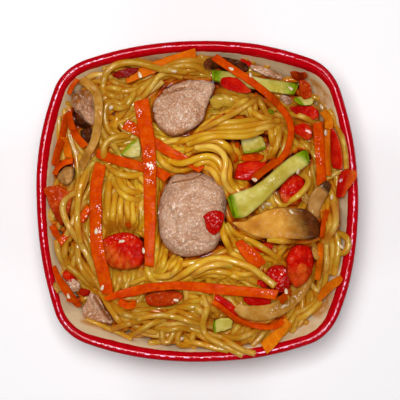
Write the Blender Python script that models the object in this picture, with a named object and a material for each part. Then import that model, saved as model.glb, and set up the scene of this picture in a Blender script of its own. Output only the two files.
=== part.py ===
"""Noodles with turkey and vegetables in a rounded-square bowl.

Metres, +Z up.  The origin is on the table at the centre of the bowl's foot.
The bowl is a loft between rounded squares, the noodles are one heap with a
dug-out place under each topping, and every topping is its own closed solid
laid on what lies below it, lowest first.
"""
import math

import bmesh
import bpy
import numpy as np

# ------------------------------------------------------------ driving sizes
UNIT = 0.46875e-3            # one layout unit, seen from straight above
CU, CV = 197.5, 201.0        # layout centre: u runs right, v runs down
RIM_Z = 0.062                # height of the bowl's rim
EYE = 0.75                   # height above the rim from which the layout is seen
GAP = 0.00036                # air left between two pieces
SIDE_R, SIDE_C = 355.0, 194.5          # rim outline: radius and offset of a side arc
CORNER_R, CORNER_K = 50.0, 95.26       # rim outline: radius and centre of a corner arc
PHI0 = math.radians(18.2)              # where a side arc passes into a corner arc
FLAT_HALF = (SIDE_R - SIDE_C) * UNIT                         # half width across flats
DIAG_HALF = (CORNER_K * math.sqrt(2.0) + CORNER_R) * UNIT    # half width across corners

# bowl profile, millimetres: half width across flats, across corners, height
OUTER = [(25.2, 26.2, 0.0), (30.2, 31.2, 0.0), (30.9, 32.0, 3.4), (38.0, 40.0, 5.2),
         (46.8, 50.2, 11.5), (54.8, 60.0, 20.0), (61.2, 68.6, 30.0), (66.4, 75.2, 40.0),
         (70.9, 81.4, 50.0), (73.6, 84.9, 57.0)]
RIM = [(0.0, 60.0), (-0.45, 61.4), (-1.55, 62.0), (-2.9, 61.9), (-3.95, 61.1), (-4.6, 59.4)]
INNER = [(66.7, 76.8, 50.0), (62.1, 70.6, 40.0), (56.9, 64.0, 30.0), (50.5, 55.5, 20.0),
         (42.3, 45.2, 12.0), (34.0, 35.4, 8.0), (20.0, 20.4, 6.2)]
FLOOR_Z, RECESS_Z = 6.0, 1.6

# how far below the rim the heap meets the wall, by direction (degrees, millimetres)
EDGE_DEPTH = [(0, 9.0), (22, 12.0), (45, 23.0), (66, 12.0), (90, 7.5), (112, 8.0), (135, 14.0), (160, 10.0),
              (180, 8.5), (200, 12.0), (225, 21.0), (250, 10.0), (270, 7.0), (290, 4.0), (303, 9.0),
              (318, 23.0), (338, 10.0)]
CROWN = 4.5                  # how far the heap's middle stands above the rim


# ------------------------------------------------------------ plain geometry
def rim_point(phi):
    """Point of the rim outline whose outward normal points along phi."""
    turn = round(phi / (math.pi / 2))
    a = phi - turn * math.pi / 2
    if abs(a) <= PHI0:
        x, y = SIDE_R * math.cos(a) - SIDE_C, SIDE_R * math.sin(a)
    else:
        x = CORNER_K + CORNER_R * math.cos(a)
        y = math.copysign(CORNER_K, a) + CORNER_R * math.sin(a)
    c, s = math.cos(turn * math.pi / 2), math.sin(turn * math.pi / 2)
    return (x * c - y * s) * UNIT, (x * s + y * c) * UNIT


def phi_samples(side, corner):
    """Normal angles all round: `side` steps on each flat, `corner` on each corner."""
    out = []
    for q in range(4):
        base = q * math.pi / 2
        out += [base - PHI0 + 2 * PHI0 * i / side for i in range(side)]
        out += [base + PHI0 + (math.pi / 2 - 2 * PHI0) * i / corner for i in range(corner)]
    return out


def section(flat, diag, phis, inset=0.0):
    """Rounded square of given half widths (metres): a scaled rim outline plus an even offset."""
    alpha = (diag - flat) / (DIAG_HALF - FLAT_HALF)
    beta = flat - alpha * FLAT_HALF - inset
    pts = []
    for p in phis:
        x, y = rim_point(p)
        pts.append((alpha * x + beta * math.cos(p), alpha * y + beta * math.sin(p)))
    return pts


def loft(rings, low=None, high=None):
    """Triangles through closed rings of equal count, ends closed by a fan to a point."""
    n = len(rings[0])
    verts = [tuple(p) for ring in rings for p in ring]
    tris = []
    for k in range(len(rings) - 1):
        for i in range(n):
            a, b = k * n + i, k * n + (i + 1) % n
            c, d = b + n, a + n
            tris += [(a, b, c), (a, c, d)]
    for centre, k, flip in ((low, 0, True), (high, len(rings) - 1, False)):
        if centre is None:
            centre = np.mean([rings[k][i] for i in range(n)], axis=0)
        verts.append(tuple(centre))
        m = len(verts) - 1
        for i in range(n):
            a, b = k * n + i, k * n + (i + 1) % n
            tris.append((b, a, m) if flip else (a, b, m))
    return np.array(verts, float), np.array(tris, int)


def smooth_path(pts, step):
    """Evenly spaced points of a Catmull-Rom curve through pts."""
    p = np.array(pts, float)
    if len(p) == 2:
        n = max(2, int(np.linalg.norm(p[1] - p[0]) / step) + 1)
        return p[0] + (p[1] - p[0]) * np.linspace(0, 1, n)[:, None]
    q = np.vstack([2 * p[0] - p[1], p, 2 * p[-1] - p[-2]])
    dense = []
    for i in range(1, len(q) - 2):
        t = np.linspace(0, 1, 24, endpoint=False)[:, None]
        a, b, c, d = q[i - 1], q[i], q[i + 1], q[i + 2]
        dense.append(0.5 * (2 * b + (c - a) * t + (2 * a - 5 * b + 4 * c - d) * t ** 2
                            + (3 * b - a - 3 * c + d) * t ** 3))
    dense = np.vstack(dense + [q[-2][None]])
    s = np.concatenate([[0], np.cumsum(np.linalg.norm(np.diff(dense, axis=0), axis=1))])
    n = max(3, int(round(s[-1] / step)) + 1)
    want = np.linspace(0, s[-1], n)
    return np.stack([np.interp(want, s, dense[:, k]) for k in range(dense.shape[1])], axis=1)


# ------------------------------------------------------------ heights
CELL, SPAN = 0.0005, 0.089
NCELL = int(2 * SPAN / CELL) + 1
AXIS = -SPAN + CELL * np.arange(NCELL)


def at(field, x, y):
    i = np.clip(np.rint((np.asarray(x) + SPAN) / CELL).astype(int), 0, NCELL - 1)
    j = np.clip(np.rint((np.asarray(y) + SPAN) / CELL).astype(int), 0, NCELL - 1)
    return field[i, j]


def spread(field, n, lowest=False):
    """Largest (or lowest) value within n cells."""
    f = np.minimum if lowest else np.maximum
    out = field
    for axis in (0, 1):
        best = out.copy()
        for k in range(1, n + 1):
            for s in (k, -k):
                best = f(best, np.roll(out, s, axis=axis))
        out = best
    return out


def shadow(verts, tris):
    """Top and underside heights of a closed mesh on the grid (-1 and +1 outside it)."""
    top = np.full((NCELL, NCELL), -1.0)
    low = np.full((NCELL, NCELL), 1.0)
    for t in tris:
        a, b, c = verts[t[0]], verts[t[1]], verts[t[2]]
        det = (b[0] - a[0]) * (c[1] - a[1]) - (c[0] - a[0]) * (b[1] - a[1])
        if abs(det) < 1e-13:
            continue
        i0 = max(int(math.floor((min(a[0], b[0], c[0]) + SPAN) / CELL)), 0)
        i1 = min(int(math.ceil((max(a[0], b[0], c[0]) + SPAN) / CELL)), NCELL - 1)
        j0 = max(int(math.floor((min(a[1], b[1], c[1]) + SPAN) / CELL)), 0)
        j1 = min(int(math.ceil((max(a[1], b[1], c[1]) + SPAN) / CELL)), NCELL - 1)
        if i1 < i0 or j1 < j0:
            continue
        x, y = AXIS[i0:i1 + 1][:, None], AXIS[j0:j1 + 1][None, :]
        wb = ((x - a[0]) * (c[1] - a[1]) - (c[0] - a[0]) * (y - a[1])) / det
        wc = ((b[0] - a[0]) * (y - a[1]) - (x - a[0]) * (b[1] - a[1])) / det
        inside = (wb >= -1e-6) & (wc >= -1e-6) & (wb + wc <= 1 + 1e-6)
        z = a[2] + wb * (b[2] - a[2]) + wc * (c[2] - a[2])
        part = top[i0:i1 + 1, j0:j1 + 1]
        part[inside] = np.maximum(part[inside], z[inside])
        part = low[i0:i1 + 1, j0:j1 + 1]
        part[inside] = np.minimum(part[inside], z[inside])
    return top, low


def bowl_mesh(side, corner):
    phis = phi_samples(side, corner)
    rings = []
    for f, d, z in OUTER:
        rings.append([(x, y, z / 1000) for x, y in section(f / 1000, d / 1000, phis)])
    for inset, z in RIM:
        rings.append([(x, y, z / 1000) for x, y in section(FLAT_HALF, DIAG_HALF, phis, -inset / 1000)])
    for f, d, z in INNER:
        rings.append([(x, y, z / 1000) for x, y in section(f / 1000, d / 1000, phis)])
    rings.insert(0, [(x * 0.97, y * 0.97, RECESS_Z / 1000) for x, y, _ in rings[0]])
    return loft(rings, (0, 0, RECESS_Z / 1000), (0, 0, FLOOR_Z / 1000))


def cavity_mesh(side, corner):
    """The bowl's inside, a gap smaller than the wall, open to above the heap."""
    phis = phi_samples(side, corner)
    top = RIM[-1]
    rows = [(FLAT_HALF + top[0] / 1000, DIAG_HALF + top[0] / 1000, top[1] / 1000)]
    rows += [(f / 1000, d / 1000, z / 1000) for f, d, z in INNER]
    rows = rows[::-1]
    rings = [[(x, y, z + GAP) for x, y in section(f, d, phis, GAP)] for f, d, z in rows]
    f, d, z = rows[-1]
    rings.append([(x, y, z + 0.03) for x, y in section(f, d, phis, GAP)])
    return loft(rings, (0, 0, FLOOR_Z / 1000 + GAP), (0, 0, rows[-1][2] + 0.03))


# the rim's radius by direction, for the heap's outline
_RING = np.array([rim_point(p) for p in phi_samples(24, 24)])
_RANG = np.arctan2(_RING[:, 1], _RING[:, 0])
_ORD = np.argsort(_RANG)
_RANG, _RRAD = _RANG[_ORD], np.hypot(_RING[_ORD, 0], _RING[_ORD, 1])
_DEG = np.array([a for a, _ in EDGE_DEPTH], float)
_DEP = np.array([d for _, d in EDGE_DEPTH], float) / 1000


def dome(x, y):
    """The heap's plain surface: a flat crown falling to an uneven edge."""
    x, y = np.asarray(x, float), np.asarray(y, float)
    ang = np.arctan2(y, x)
    edge_r = np.interp(ang, _RANG, _RRAD, period=2 * math.pi) - 0.0046
    q = np.hypot(x, y) / edge_r
    depth = np.zeros_like(q)
    for k in (-1, 0, 1):         # a smooth blend of the edge depths by direction
        depth = depth + np.interp(np.degrees(ang) + 5 * k, _DEG, _DEP, period=360) / 3
    crown = RIM_Z + CROWN / 1000
    z = crown - (depth + CROWN / 1000) * np.clip(q, 0, 1.1) ** 3.0
    z = z + 0.0007 * np.sin(210 * x + 90 * y + 0.6) * np.cos(170 * y - 60 * x) + 0.0005 * np.sin(330 * y - 1.0)
    return z


def place(u, v):
    """Layout units to metres, at the height of the heap there."""
    x, y = (u - CU) * UNIT, -(v - CV) * UNIT
    z = min(float(dome(x, y)), 0.075)
    k = 1 - (z - RIM_Z) / EYE
    return x * k, y * k


class Pile:
    """Everything laid so far, as heights: `top` of what is there, `low` of the toppings."""

    def __init__(self):
        verts, tris = bowl_mesh(6, 5)
        top, _ = shadow(verts, tris)
        self.bowl = top
        self.top = spread(top, 1)
        self.low = np.full((NCELL, NCELL), 1.0)
        gx, gy = np.meshgrid(AXIS, AXIS, indexing="ij")
        self.dome = dome(gx, gy)
        self.rest = np.maximum(self.dome, self.top + GAP)     # what a topping rests on
        self.items = []

    def lay(self, name, kind, verts, tris, extra, lift_ok=True):
        top, low = shadow(verts, tris)
        seen = top > -0.5
        rise = 0.0
        if lift_ok:
            wide_low = spread(low, 1, True)
            m = wide_low < 0.9
            need = (self.top - wide_low + GAP)[m]
            rise = max(0.0, float(need.max()))
        if rise:
            verts = verts + np.array([0, 0, rise])
            top = np.where(seen, top + rise, top)
            low = np.where(low < 0.9, low + rise, low)
        self.top = np.maximum(self.top, spread(top, 1))
        self.low = np.minimum(self.low, spread(low, 1, True))
        self.items.append(dict(name=name, kind=kind, verts=verts, tris=tris, rise=rise, **extra))


PILE = Pile()


def seat(xs, ys, cx, cy, steep=1.2):
    """Slope and height of the plane that best fits what lies under the points."""
    z = at(PILE.rest, xs, ys)
    m = np.column_stack([xs - cx, ys - cy, np.ones(len(xs))])
    gx, gy, base = np.linalg.lstsq(m, z, rcond=None)[0]
    k = min(1.0, steep / max(math.hypot(gx, gy), 1e-9))
    return gx * k, gy * k, float(base)


def strip(name, kind, pts, width, thick, sink=0.5, pitch=5.0, stiff=3.0, rigid=False, fat=False, ends=0.0):
    """A cut strip laid along pts (layout units): width (start, end) in units, thickness in mm.

    It follows what lies below it as far as its stiffness lets it, or, if rigid, lies straight.
    fat gives it bevelled edges; ends is the rise in mm of its two ends above its straight line.
    """
    w0, w1 = (width if isinstance(width, tuple) else (width, width))
    ctrl = np.array([place(u, v) for u, v in pts])
    line = smooth_path(ctrl, 0.0007)
    s = np.concatenate([[0], np.cumsum(np.linalg.norm(np.diff(line, axis=0), axis=1))])
    length = s[-1]
    n = max(3, int(math.ceil(length / (pitch / 1000))) + 1)
    sk = np.linspace(0, length, n)
    knots = np.stack([np.interp(sk, s, line[:, 0]), np.interp(sk, s, line[:, 1])], axis=1)
    tan = np.gradient(knots, axis=0)
    tan /= np.linalg.norm(tan, axis=1)[:, None]
    nor = np.stack([-tan[:, 1], tan[:, 0]], axis=1)
    sub = 8
    f = np.linspace(0, n - 1, (n - 1) * sub + 1)
    k0 = np.minimum(f.astype(int), n - 2)
    t = (f - k0)[:, None]
    pos = knots[k0] * (1 - t) + knots[k0 + 1] * t
    nrm = nor[k0] * (1 - t) + nor[k0 + 1] * t
    half = (w0 + (w1 - w0) * f / (n - 1)) * UNIT / 2
    th = thick / 1000
    wide = half + 0.0004
    left = at(PILE.rest, pos[:, 0] + nrm[:, 0] * half, pos[:, 1] + nrm[:, 1] * half)
    right = at(PILE.rest, pos[:, 0] - nrm[:, 0] * half, pos[:, 1] - nrm[:, 1] * half)
    tilt = np.clip((left - right) / (2 * half), -1.2, 1.2)
    box = np.ones(2 * sub + 1) / (2 * sub + 1)
    tilt = np.convolve(np.pad(tilt, sub, mode="edge"), box, mode="valid")
    want = at(PILE.rest, pos[:, 0], pos[:, 1]) - sink / 1000
    need = np.full(len(f), -1.0)
    for v in np.linspace(-1, 1, 9):
        g = at(PILE.top, pos[:, 0] + nrm[:, 0] * wide * v, pos[:, 1] + nrm[:, 1] * wide * v)
        need = np.maximum(need, g + GAP - tilt * wide * v)
    plain = want
    want = np.maximum(want, need)
    if rigid:
        m = f / (n - 1)
        lo, hi = np.median(plain[: max(2, len(f) // 4)]), np.median(plain[-max(2, len(f) // 4):])
        z = lo + (hi - lo) * m + ends / 1000 * (2 * m - 1) ** 2
        z = z + max(0.0, float((need - z).max()))
    else:
        per = length / (len(f) - 1)
        r = max(1, int(stiff / 1000 / per))
        padded = np.pad(want, 2 * r, mode="edge")
        big = np.array([padded[i:i + 2 * r + 1].max() for i in range(len(padded) - 2 * r)])
        box = np.ones(2 * r + 1) / (2 * r + 1)
        z = np.convolve(big, box, mode="valid")
        for _ in range(3):
            zk = z[::sub]
            lin = zk[k0] * (1 - t[:, 0]) + zk[k0 + 1] * t[:, 0]
            lack = np.maximum(need - lin, 0)
            if lack.max() <= 1e-6:
                break
            seg = np.array([lack[k * sub:(k + 1) * sub + 1].max() for k in range(n - 1)])
            z[::sub] += np.maximum(np.append(seg, 0), np.insert(seg, 0, 0))
    zk, tk, hk = z[::sub], tilt[::sub], half[::sub]
    if fat:
        prof = [(-0.72, 0.0), (0.72, 0.0), (1.0, 0.28), (1.0, 0.7), (0.66, 1.0), (-0.66, 1.0), (-1.0, 0.7), (-1.0, 0.28)]
    else:
        prof = [(-1.0, 0.0), (1.0, 0.0), (0.94, 1.0), (-0.94, 1.0)]
    rings = []
    for k in range(n):
        ring = []
        for a, b in prof:
            v = -a * hk[k]
            ring.append((knots[k, 0] + nor[k, 0] * v, knots[k, 1] + nor[k, 1] * v, zk[k] + tk[k] * v + b * th))
        rings.append(ring[::-1])
    verts, tris = loft(rings)
    PILE.lay(name, kind, verts, tris, dict(form="strip", line=np.column_stack([knots, zk]), tilt=tk, half=hk,
                                           thick=th, fat=fat))


def lump(name, kind, u, v, length, width, turn, up, down, square=2.4, flat=1.0, taper=0.0, bend=0.0, rough=0.05,
         seed=1, around=14, over=6, lean=(0.0, 0.0), fold=None):
    """A rounded chunk: a sphere shaped to a superellipse of length x width (units), up and down in mm.

    flat under 1 squares its sides; fold is (offset, depth, turn) of a crease across its top.
    """
    a, b = length * UNIT / 2, width * UNIT / 2
    t = -math.radians(turn)

    def shape(around, over):
        bm = bmesh.new()
        bmesh.ops.create_uvsphere(bm, u_segments=around, v_segments=over, radius=1.0)
        bmesh.ops.triangulate(bm, faces=bm.faces)
        bm.verts.index_update()
        ball = np.array([tuple(p.co) for p in bm.verts])
        tris = np.array([[p.index for p in f.verts] for f in bm.faces])
        bm.free()
        th = np.arctan2(ball[:, 1], ball[:, 0])
        r = np.hypot(ball[:, 0], ball[:, 1])
        rho = np.where(r > 1e-9, r ** flat, 0.0)
        e = 2.0 / square
        cx = np.sign(np.cos(th)) * np.abs(np.cos(th)) ** e
        cy = np.sign(np.sin(th)) * np.abs(np.sin(th)) ** e
        wob = 1 + rough * (np.sin(2 * th + seed) + 0.8 * np.sin(3 * th + 2.3 * seed)
                           + 0.5 * np.sin(5 * th + 4.1 * seed))
        x, y = a * cx * rho * wob, b * cy * rho * wob
        y = y * (1 + taper * x / a) + bend * UNIT * (1 - (x / a) ** 2) - bend * UNIT * 0.5
        z = np.sign(ball[:, 2]) * np.abs(ball[:, 2]) ** flat
        z = np.where(z > 0, z * up, z * down) / 1000
        z = z + rough * 0.03 * np.sin(7 * x / a + seed) * np.cos(5 * y / b - seed) * (ball[:, 2] > 0) * (up / 10)
        if fold:
            off, deep, ft = fold
            d = (x * math.cos(ft) + y * math.sin(ft)) / a - off
            z = z - np.where(ball[:, 2] > 0.1, deep / 1000 * np.exp(-(d / 0.12) ** 2), 0)
        return x * math.cos(t) - y * math.sin(t), x * math.sin(t) + y * math.cos(t), z, ball, tris

    X, Y, z, ball, tris = shape(around, over)
    cxw, cyw = place(u, v)
    gx, gy, base = seat(X + cxw, Y + cyw, cxw, cyw)
    gx, gy = gx + lean[0], gy + lean[1]
    verts = np.column_stack([X + cxw, Y + cyw, z + gx * X + gy * Y + base])
    PILE.lay(name, kind, verts, tris, dict(form="lump", shape=shape, plane=(cxw, cyw, gx, gy, base), turn=t,
                                           up=up / 1000, half=(a, b), seed=seed))


def plate(name, kind, outline, up, down, bulge=0.0, around=14, lean=(0.0, 0.0), inset=0.88):
    """A flat-cut piece: a smooth closed outline (units) with bevelled edges, up and down in mm."""
    ctrl = np.array([place(u, v) for u, v in outline])
    loop = np.vstack([ctrl[-2:], ctrl, ctrl[:2]])
    dense = []
    for i in range(1, len(loop) - 2):
        t = np.linspace(0, 1, 16, endpoint=False)[:, None]
        a, b, c, d = loop[i - 1], loop[i], loop[i + 1], loop[i + 2]
        dense.append(0.5 * (2 * b + (c - a) * t + (2 * a - 5 * b + 4 * c - d) * t ** 2
                            + (3 * b - a - 3 * c + d) * t ** 3))
    dense = np.vstack(dense[1:len(ctrl) + 1])
    dense = np.vstack([dense, dense[:1]])
    s = np.concatenate([[0], np.cumsum(np.linalg.norm(np.diff(dense, axis=0), axis=1))])

    def shape(around):
        want = np.linspace(0, s[-1], around, endpoint=False)
        ring = np.stack([np.interp(want, s, dense[:, k]) for k in range(2)], axis=1)
        area = 0.5 * np.sum(ring[:, 0] * np.roll(ring[:, 1], -1) - np.roll(ring[:, 0], -1) * ring[:, 1])
        return ring[::-1] if area < 0 else ring

    ring = shape(around)
    c = ring.mean(axis=0)
    inner = np.vstack([c + (ring - c) * k for k in (1.0, 0.66, 0.33)])
    gx, gy, base = seat(inner[:, 0], inner[:, 1], c[0], c[1])
    gx, gy = gx + lean[0], gy + lean[1]
    up, down, bulge = up / 1000, down / 1000, bulge / 1000

    def level(scale, h):
        p = c + (ring - c) * scale
        return [(q[0], q[1], base + h + gx * (q[0] - c[0]) + gy * (q[1] - c[1])) for q in p]
    rings = [level(inset, -down), level(1.0, -down * 0.45), level(1.0, up * 0.55 - bulge * 0.3), level(inset, up)]
    verts, tris = loft(rings, (c[0], c[1], base - down), (c[0], c[1], base + up + bulge))
    PILE.lay(name, kind, verts, tris, dict(form="plate", shape=shape, plane=(c[0], c[1], gx, gy, base), up=up,
                                           down=down, bulge=bulge, inset=inset))


# ------------------------------------------------------------ the toppings, lowest first
# sunk chunks
lump("turkey_centre", "turkey", 191.5, 215, 84, 67, 84, 10.5, 7.0, square=2.35, taper=0.06, rough=0.03, seed=13,
     around=26, over=8, flat=0.78, fold=(-0.8, 1.5, 0.25))
plate("turkey_upper", "turkey", [(166, 85), (190, 80), (212, 82), (213, 96), (205, 109), (198, 124), (182, 134),
                                 (167, 133), (156, 120), (153, 104), (160, 94)], 6.0, 6.0, bulge=2.2, around=20,
      inset=0.8)
lump("turkey_left", "turkey", 82, 108, 38, 24, 78, 6.0, 5.0, square=2.3, rough=0.08, seed=5, around=16,
     fold=(-0.55, 1.6, 0.3))
lump("tomato_left", "tomato", 124.5, 251, 40, 36, 8, 6.5, 6.0, square=3.2, flat=0.75, rough=0.035, seed=9, around=16)
lump("tomato_mid", "tomato", 293, 190, 27, 26, 30, 3.6, 5.5, square=2.6, flat=0.8, rough=0.05, seed=11, around=14)
plate("tomato_flat", "tomato", [(235, 166), (248, 161), (262, 161), (269, 165), (260, 174), (246, 179), (234, 177)],
      2.2, 3.0, bulge=0.8)
plate("tomato_upper", "tomato", [(295, 124), (304, 123), (311, 128), (309, 138), (297, 138)], 2.4, 2.6, around=10)
plate("pepper_upper", "pepper", [(294, 108), (312, 106), (319, 112), (313, 119), (300, 117)], 2.0, 2.0, around=10)
lump("tomato_crimson", "tomato", 278, 279.5, 26, 23, 60, 5.5, 4.5, square=2.1, rough=0.03, seed=19, around=14)
lump("tomato_low", "tomato", 300, 259, 36, 26, 118, 5.5, 5.5, square=2.8, flat=0.8, rough=0.04, seed=17, around=14)
plate("tomato_bit", "tomato", [(254, 247), (262, 243), (273, 244), (270, 251), (260, 252)], 1.0, 2.2, around=10)
lump("tomato_bottom", "tomato", 163, 298, 36, 17, 172, 2.0, 5.0, square=2.8, rough=0.05, seed=21, around=14)
plate("pepper_under", "pepper", [(243, 298), (256, 297), (270, 299), (268, 305), (250, 305)], 0.6, 2.4, around=10)
plate("zucchini_mid", "zucchini", [(242, 135), (256, 132), (267, 138), (264, 149), (250, 153), (242, 148)], 2.4, 3.2,
      around=12)
plate("zucchini_left", "zucchini", [(121, 151), (132, 140), (139, 143), (138, 154), (130, 157)], 1.6, 2.8, around=10)
plate("zucchini_bottom", "zucchini", [(214, 320), (228, 318), (233, 323), (230, 328), (218, 332), (214, 328)],
      2.4, 2.4, around=10)
lump("onion_pale", "onion", 220, 105, 16, 11, 100, 2.0, 2.0, seed=4, around=10, over=5, bend=2)
# along the wall, left side first
strip("carrot_wall", "carrot", [(61, 286), (69, 298), (82, 312)], 8, 1.6, sink=0.0)
lump("turkey_bit", "turkey", 74, 284, 14, 12, 40, 2.6, 2.4, seed=2, around=10, over=5)
plate("turkey_slice", "turkey", [(91, 297), (97, 293), (104, 302), (112, 319), (100, 319), (90, 313), (88, 304)],
      2.6, 2.2, bulge=1.0)
plate("tomato_wedge", "pepper", [(46, 190), (58, 187), (71, 195), (67, 208), (62, 226), (55, 214), (50, 201)],
      2.4, 1.6, bulge=0.6)
strip("carrot_m", "carrot", [(64, 116), (57, 136), (54, 154), (53, 166)], 6, 1.8, sink=0.3)
strip("carrot_n", "carrot", [(65, 138), (69, 158)], 8, 2.0, sink=0.8)
lump("mushroom_knob", "mushroom", 67, 175, 20, 16, 120, 3.6, 3.4, taper=0.3, seed=3, around=12)
plate("mushroom_dark_left", "mushroom_cap", [(80, 133), (88, 134), (95, 139), (93, 146), (85, 143)],
      0.8, 1.6, around=10)
strip("carrot_l", "carrot", [(73, 130), (78, 138), (86, 147)], 8, 1.8, sink=0.6)
strip("carrot_i", "carrot", [(197, 55), (175, 62), (152, 69), (128, 80)], (9, 8), 2.2, sink=0.4, pitch=7)
plate("pepper_dark", "pepper", [(116, 71), (124, 68), (134, 69), (129, 74), (119, 77)], 0.9, 1.0, around=10)
plate("mushroom_dark_top", "mushroom_cap", [(205, 63), (212, 58), (226, 58), (243, 63), (239, 69), (222, 67), (207, 70)],
      1.2, 1.4, around=12)
strip("turkey_strip", "turkey", [(250, 68), (262, 70), (276, 76)], (8, 8), 2.6, sink=0.8, fat=True)
plate("tomato_curl", "pepper", [(290, 74), (297, 70), (305, 74), (304, 80), (296, 80)], 1.8, 1.2, around=10)
plate("tomato_leaf", "pepper", [(300, 82), (306, 82), (311, 88), (310, 94), (303, 93)], 1.4, 1.0, around=10)
plate("zucchini_corner", "zucchini", [(293, 99), (303, 97), (312, 99), (310, 105), (299, 105)], 1.4, 1.6, around=10)
strip("zucchini_top", "zucchini", [(214, 77), (252, 83), (296, 90)], (13, 14), 5.2, sink=3.4, stiff=9,
      fat=True, pitch=9)
plate("pepper_top", "pepper", [(221, 81), (229, 78), (240, 84), (251, 92), (239, 94), (226, 92)], 1.2, 0.9, around=10)
strip("carrot_h", "carrot", [(329, 125), (327, 145), (328, 176)], 7, 1.8, sink=0.6, pitch=7)
strip("pepper_right", "pepper", [(336, 135), (340, 152), (341, 165)], (8, 8.5), 2.4, sink=0.6)
plate("tomato_rim", "pepper", [(341, 171), (351, 171), (353, 178), (345, 191), (342, 197), (336, 196), (337, 181)],
      2.0, 1.2, bulge=0.6)
# long strips and the pieces that lie on others
strip("carrot_c", "carrot", [(125, 124), (140, 132), (158, 145), (175, 155), (190, 163), (202, 170)], (11, 9), 2.0,
      sink=0.8, stiff=4, pitch=6)
strip("carrot_d", "carrot", [(97, 153), (115, 160), (138, 166), (158, 172), (168, 178)], (9, 10), 2.0, sink=0.8,
      pitch=6)
strip("carrot_a", "carrot", [(101, 164), (96, 188), (95.5, 220), (98, 256), (106, 294)], (12.5, 12), 2.2, sink=0.8,
      stiff=6, pitch=7)
strip("carrot_b", "carrot", [(141, 102), (147, 138), (150, 172), (149.5, 222), (148.5, 266)], (14, 11), 2.3, sink=0.5,
      stiff=7, pitch=7)
strip("onion_left", "onion", [(83, 80), (96, 93), (100, 112), (96, 138), (88, 155), (81, 168)], (9, 8), 1.8, sink=0.2,
      stiff=4)
strip("carrot_g", "carrot", [(317, 123), (319, 150), (321, 186)], (10, 10.5), 2.2, sink=0.5, stiff=4, pitch=7)
strip("carrot_f", "carrot", [(214, 58), (233, 72), (262, 92), (284, 112), (290.5, 130), (286, 152), (272, 168)],
      (8, 6.5), 2.0, sink=0.6, stiff=4)
strip("zucchini_stick", "zucchini", [(231, 206), (247, 201), (268, 183), (288, 167), (306, 156)], (23, 15), 7.5,
      sink=2.4, rigid=True, fat=True, pitch=9)
strip("mushroom_slab", "mushroom", [(329, 184), (321, 195), (315, 204)], (11, 15), 3.4, sink=1.8, fat=True)
plate("mushroom_slice", "mushroom", [(230, 223), (246, 221), (263, 214), (284, 208), (302, 211), (317, 221), (319, 236),
                                     (304, 240), (268, 240), (244, 232)], 3.8, 2.6, bulge=0.8, around=20, inset=0.9)
strip("carrot_u", "carrot", [(240, 242), (248, 251), (259, 263)], (10, 11), 2.0, sink=0.8)
strip("carrot_w", "carrot", [(320, 243), (319, 257), (317, 280)], 6, 1.8, sink=0.6)
strip("carrot_x", "carrot", [(338, 278), (330, 285), (321, 294)], 9, 1.8, sink=0.4)
strip("pepper_bottom", "pepper", [(218, 300), (227, 306), (237, 314)], (7, 8), 2.0, sink=0.8)
strip("onion_right", "onion", [(240, 312), (254, 317), (270, 316), (288, 308), (302, 295), (310, 282)], (9, 8), 2.2,
      sink=0.4, stiff=4)
strip("carrot_e", "carrot", [(108, 300), (130, 293), (160, 286), (190, 286), (220, 289), (250, 291), (277, 294)],
      (10, 11), 2.2, sink=0.5, stiff=5, pitch=7)
strip("carrot_j", "carrot", [(288, 320), (277, 333), (263, 347)], (11, 12), 2.0, sink=0.5)
lump("tomato_skin", "tomato", 214, 221, 25, 18, 118, 2.8, 0.5, square=2.2, rough=0.08, seed=15, around=12, over=5)

# ------------------------------------------------------------ materials
COLOURS = {
    "bowl": ((0.60, 0.012, 0.035), 0.22), "noodles": ((0.66, 0.42, 0.07), 0.38),
    "carrot": ((0.84, 0.14, 0.01), 0.30), "turkey": ((0.60, 0.40, 0.28), 0.48),
    "tomato": ((0.66, 0.03, 0.01), 0.25), "pepper": ((0.62, 0.015, 0.01), 0.25),
    "zucchini": ((0.58, 0.60, 0.17), 0.34), "mushroom": ((0.42, 0.23, 0.07), 0.42),
    "mushroom_cap": ((0.06, 0.03, 0.015), 0.40), "onion": ((0.60, 0.36, 0.12), 0.28),
}


def material(kind):
    mat = bpy.data.materials.get(kind) or bpy.data.materials.new(kind)
    mat.use_nodes = True
    colour, rough = COLOURS[kind]
    bsdf = mat.node_tree.nodes["Principled BSDF"]
    bsdf.inputs["Base Color"].default_value = (*colour, 1)
    bsdf.inputs["Roughness"].default_value = rough
    bsdf.inputs["Metallic"].default_value = 0.0
    mat.diffuse_color = (*colour, 1)
    return mat


def put(name, kind, verts, tris, group, smooth=True):
    mesh = bpy.data.meshes.new(name)
    mesh.from_pydata([tuple(p) for p in verts], [], [tuple(int(i) for i in t) for t in tris])
    mesh.update()
    mesh.materials.append(material(kind))
    obj = bpy.data.objects.new(name, mesh)
    group.objects.link(obj)
    if smooth:
        mesh.shade_smooth()
        mesh.set_sharp_from_angle(angle=math.radians(40))
    return obj


def heap_block(pitch):
    """A square grid pulled up to the heap's surface, kept below every topping, and closed underneath."""
    size = 0.080
    n = int(2 * size / pitch)
    bm = bmesh.new()
    bmesh.ops.create_grid(bm, x_segments=n, y_segments=n, size=size)
    reach = int(math.ceil(2 * size / n / CELL)) + 1
    ceiling = spread(PILE.low, reach, True) - GAP
    for p in bm.verts:
        z = float(dome(p.co.x, p.co.y))
        p.co.z = min(z, float(at(ceiling, p.co.x, p.co.y)))
    rim = [e for e in bm.edges if e.is_boundary]
    got = bmesh.ops.extrude_edge_only(bm, edges=rim)
    low = [p for p in got["geom"] if isinstance(p, bmesh.types.BMVert)]
    for p in low:
        p.co.z = 0.0
    edges = [e for e in bm.edges if e.is_boundary]
    bmesh.ops.contextual_create(bm, geom=edges)
    bmesh.ops.triangulate(bm, faces=bm.faces)
    bmesh.ops.recalc_face_normals(bm, faces=bm.faces)
    mesh = bpy.data.meshes.new("noodles")
    bm.to_mesh(mesh)
    bm.free()
    return mesh


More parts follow.
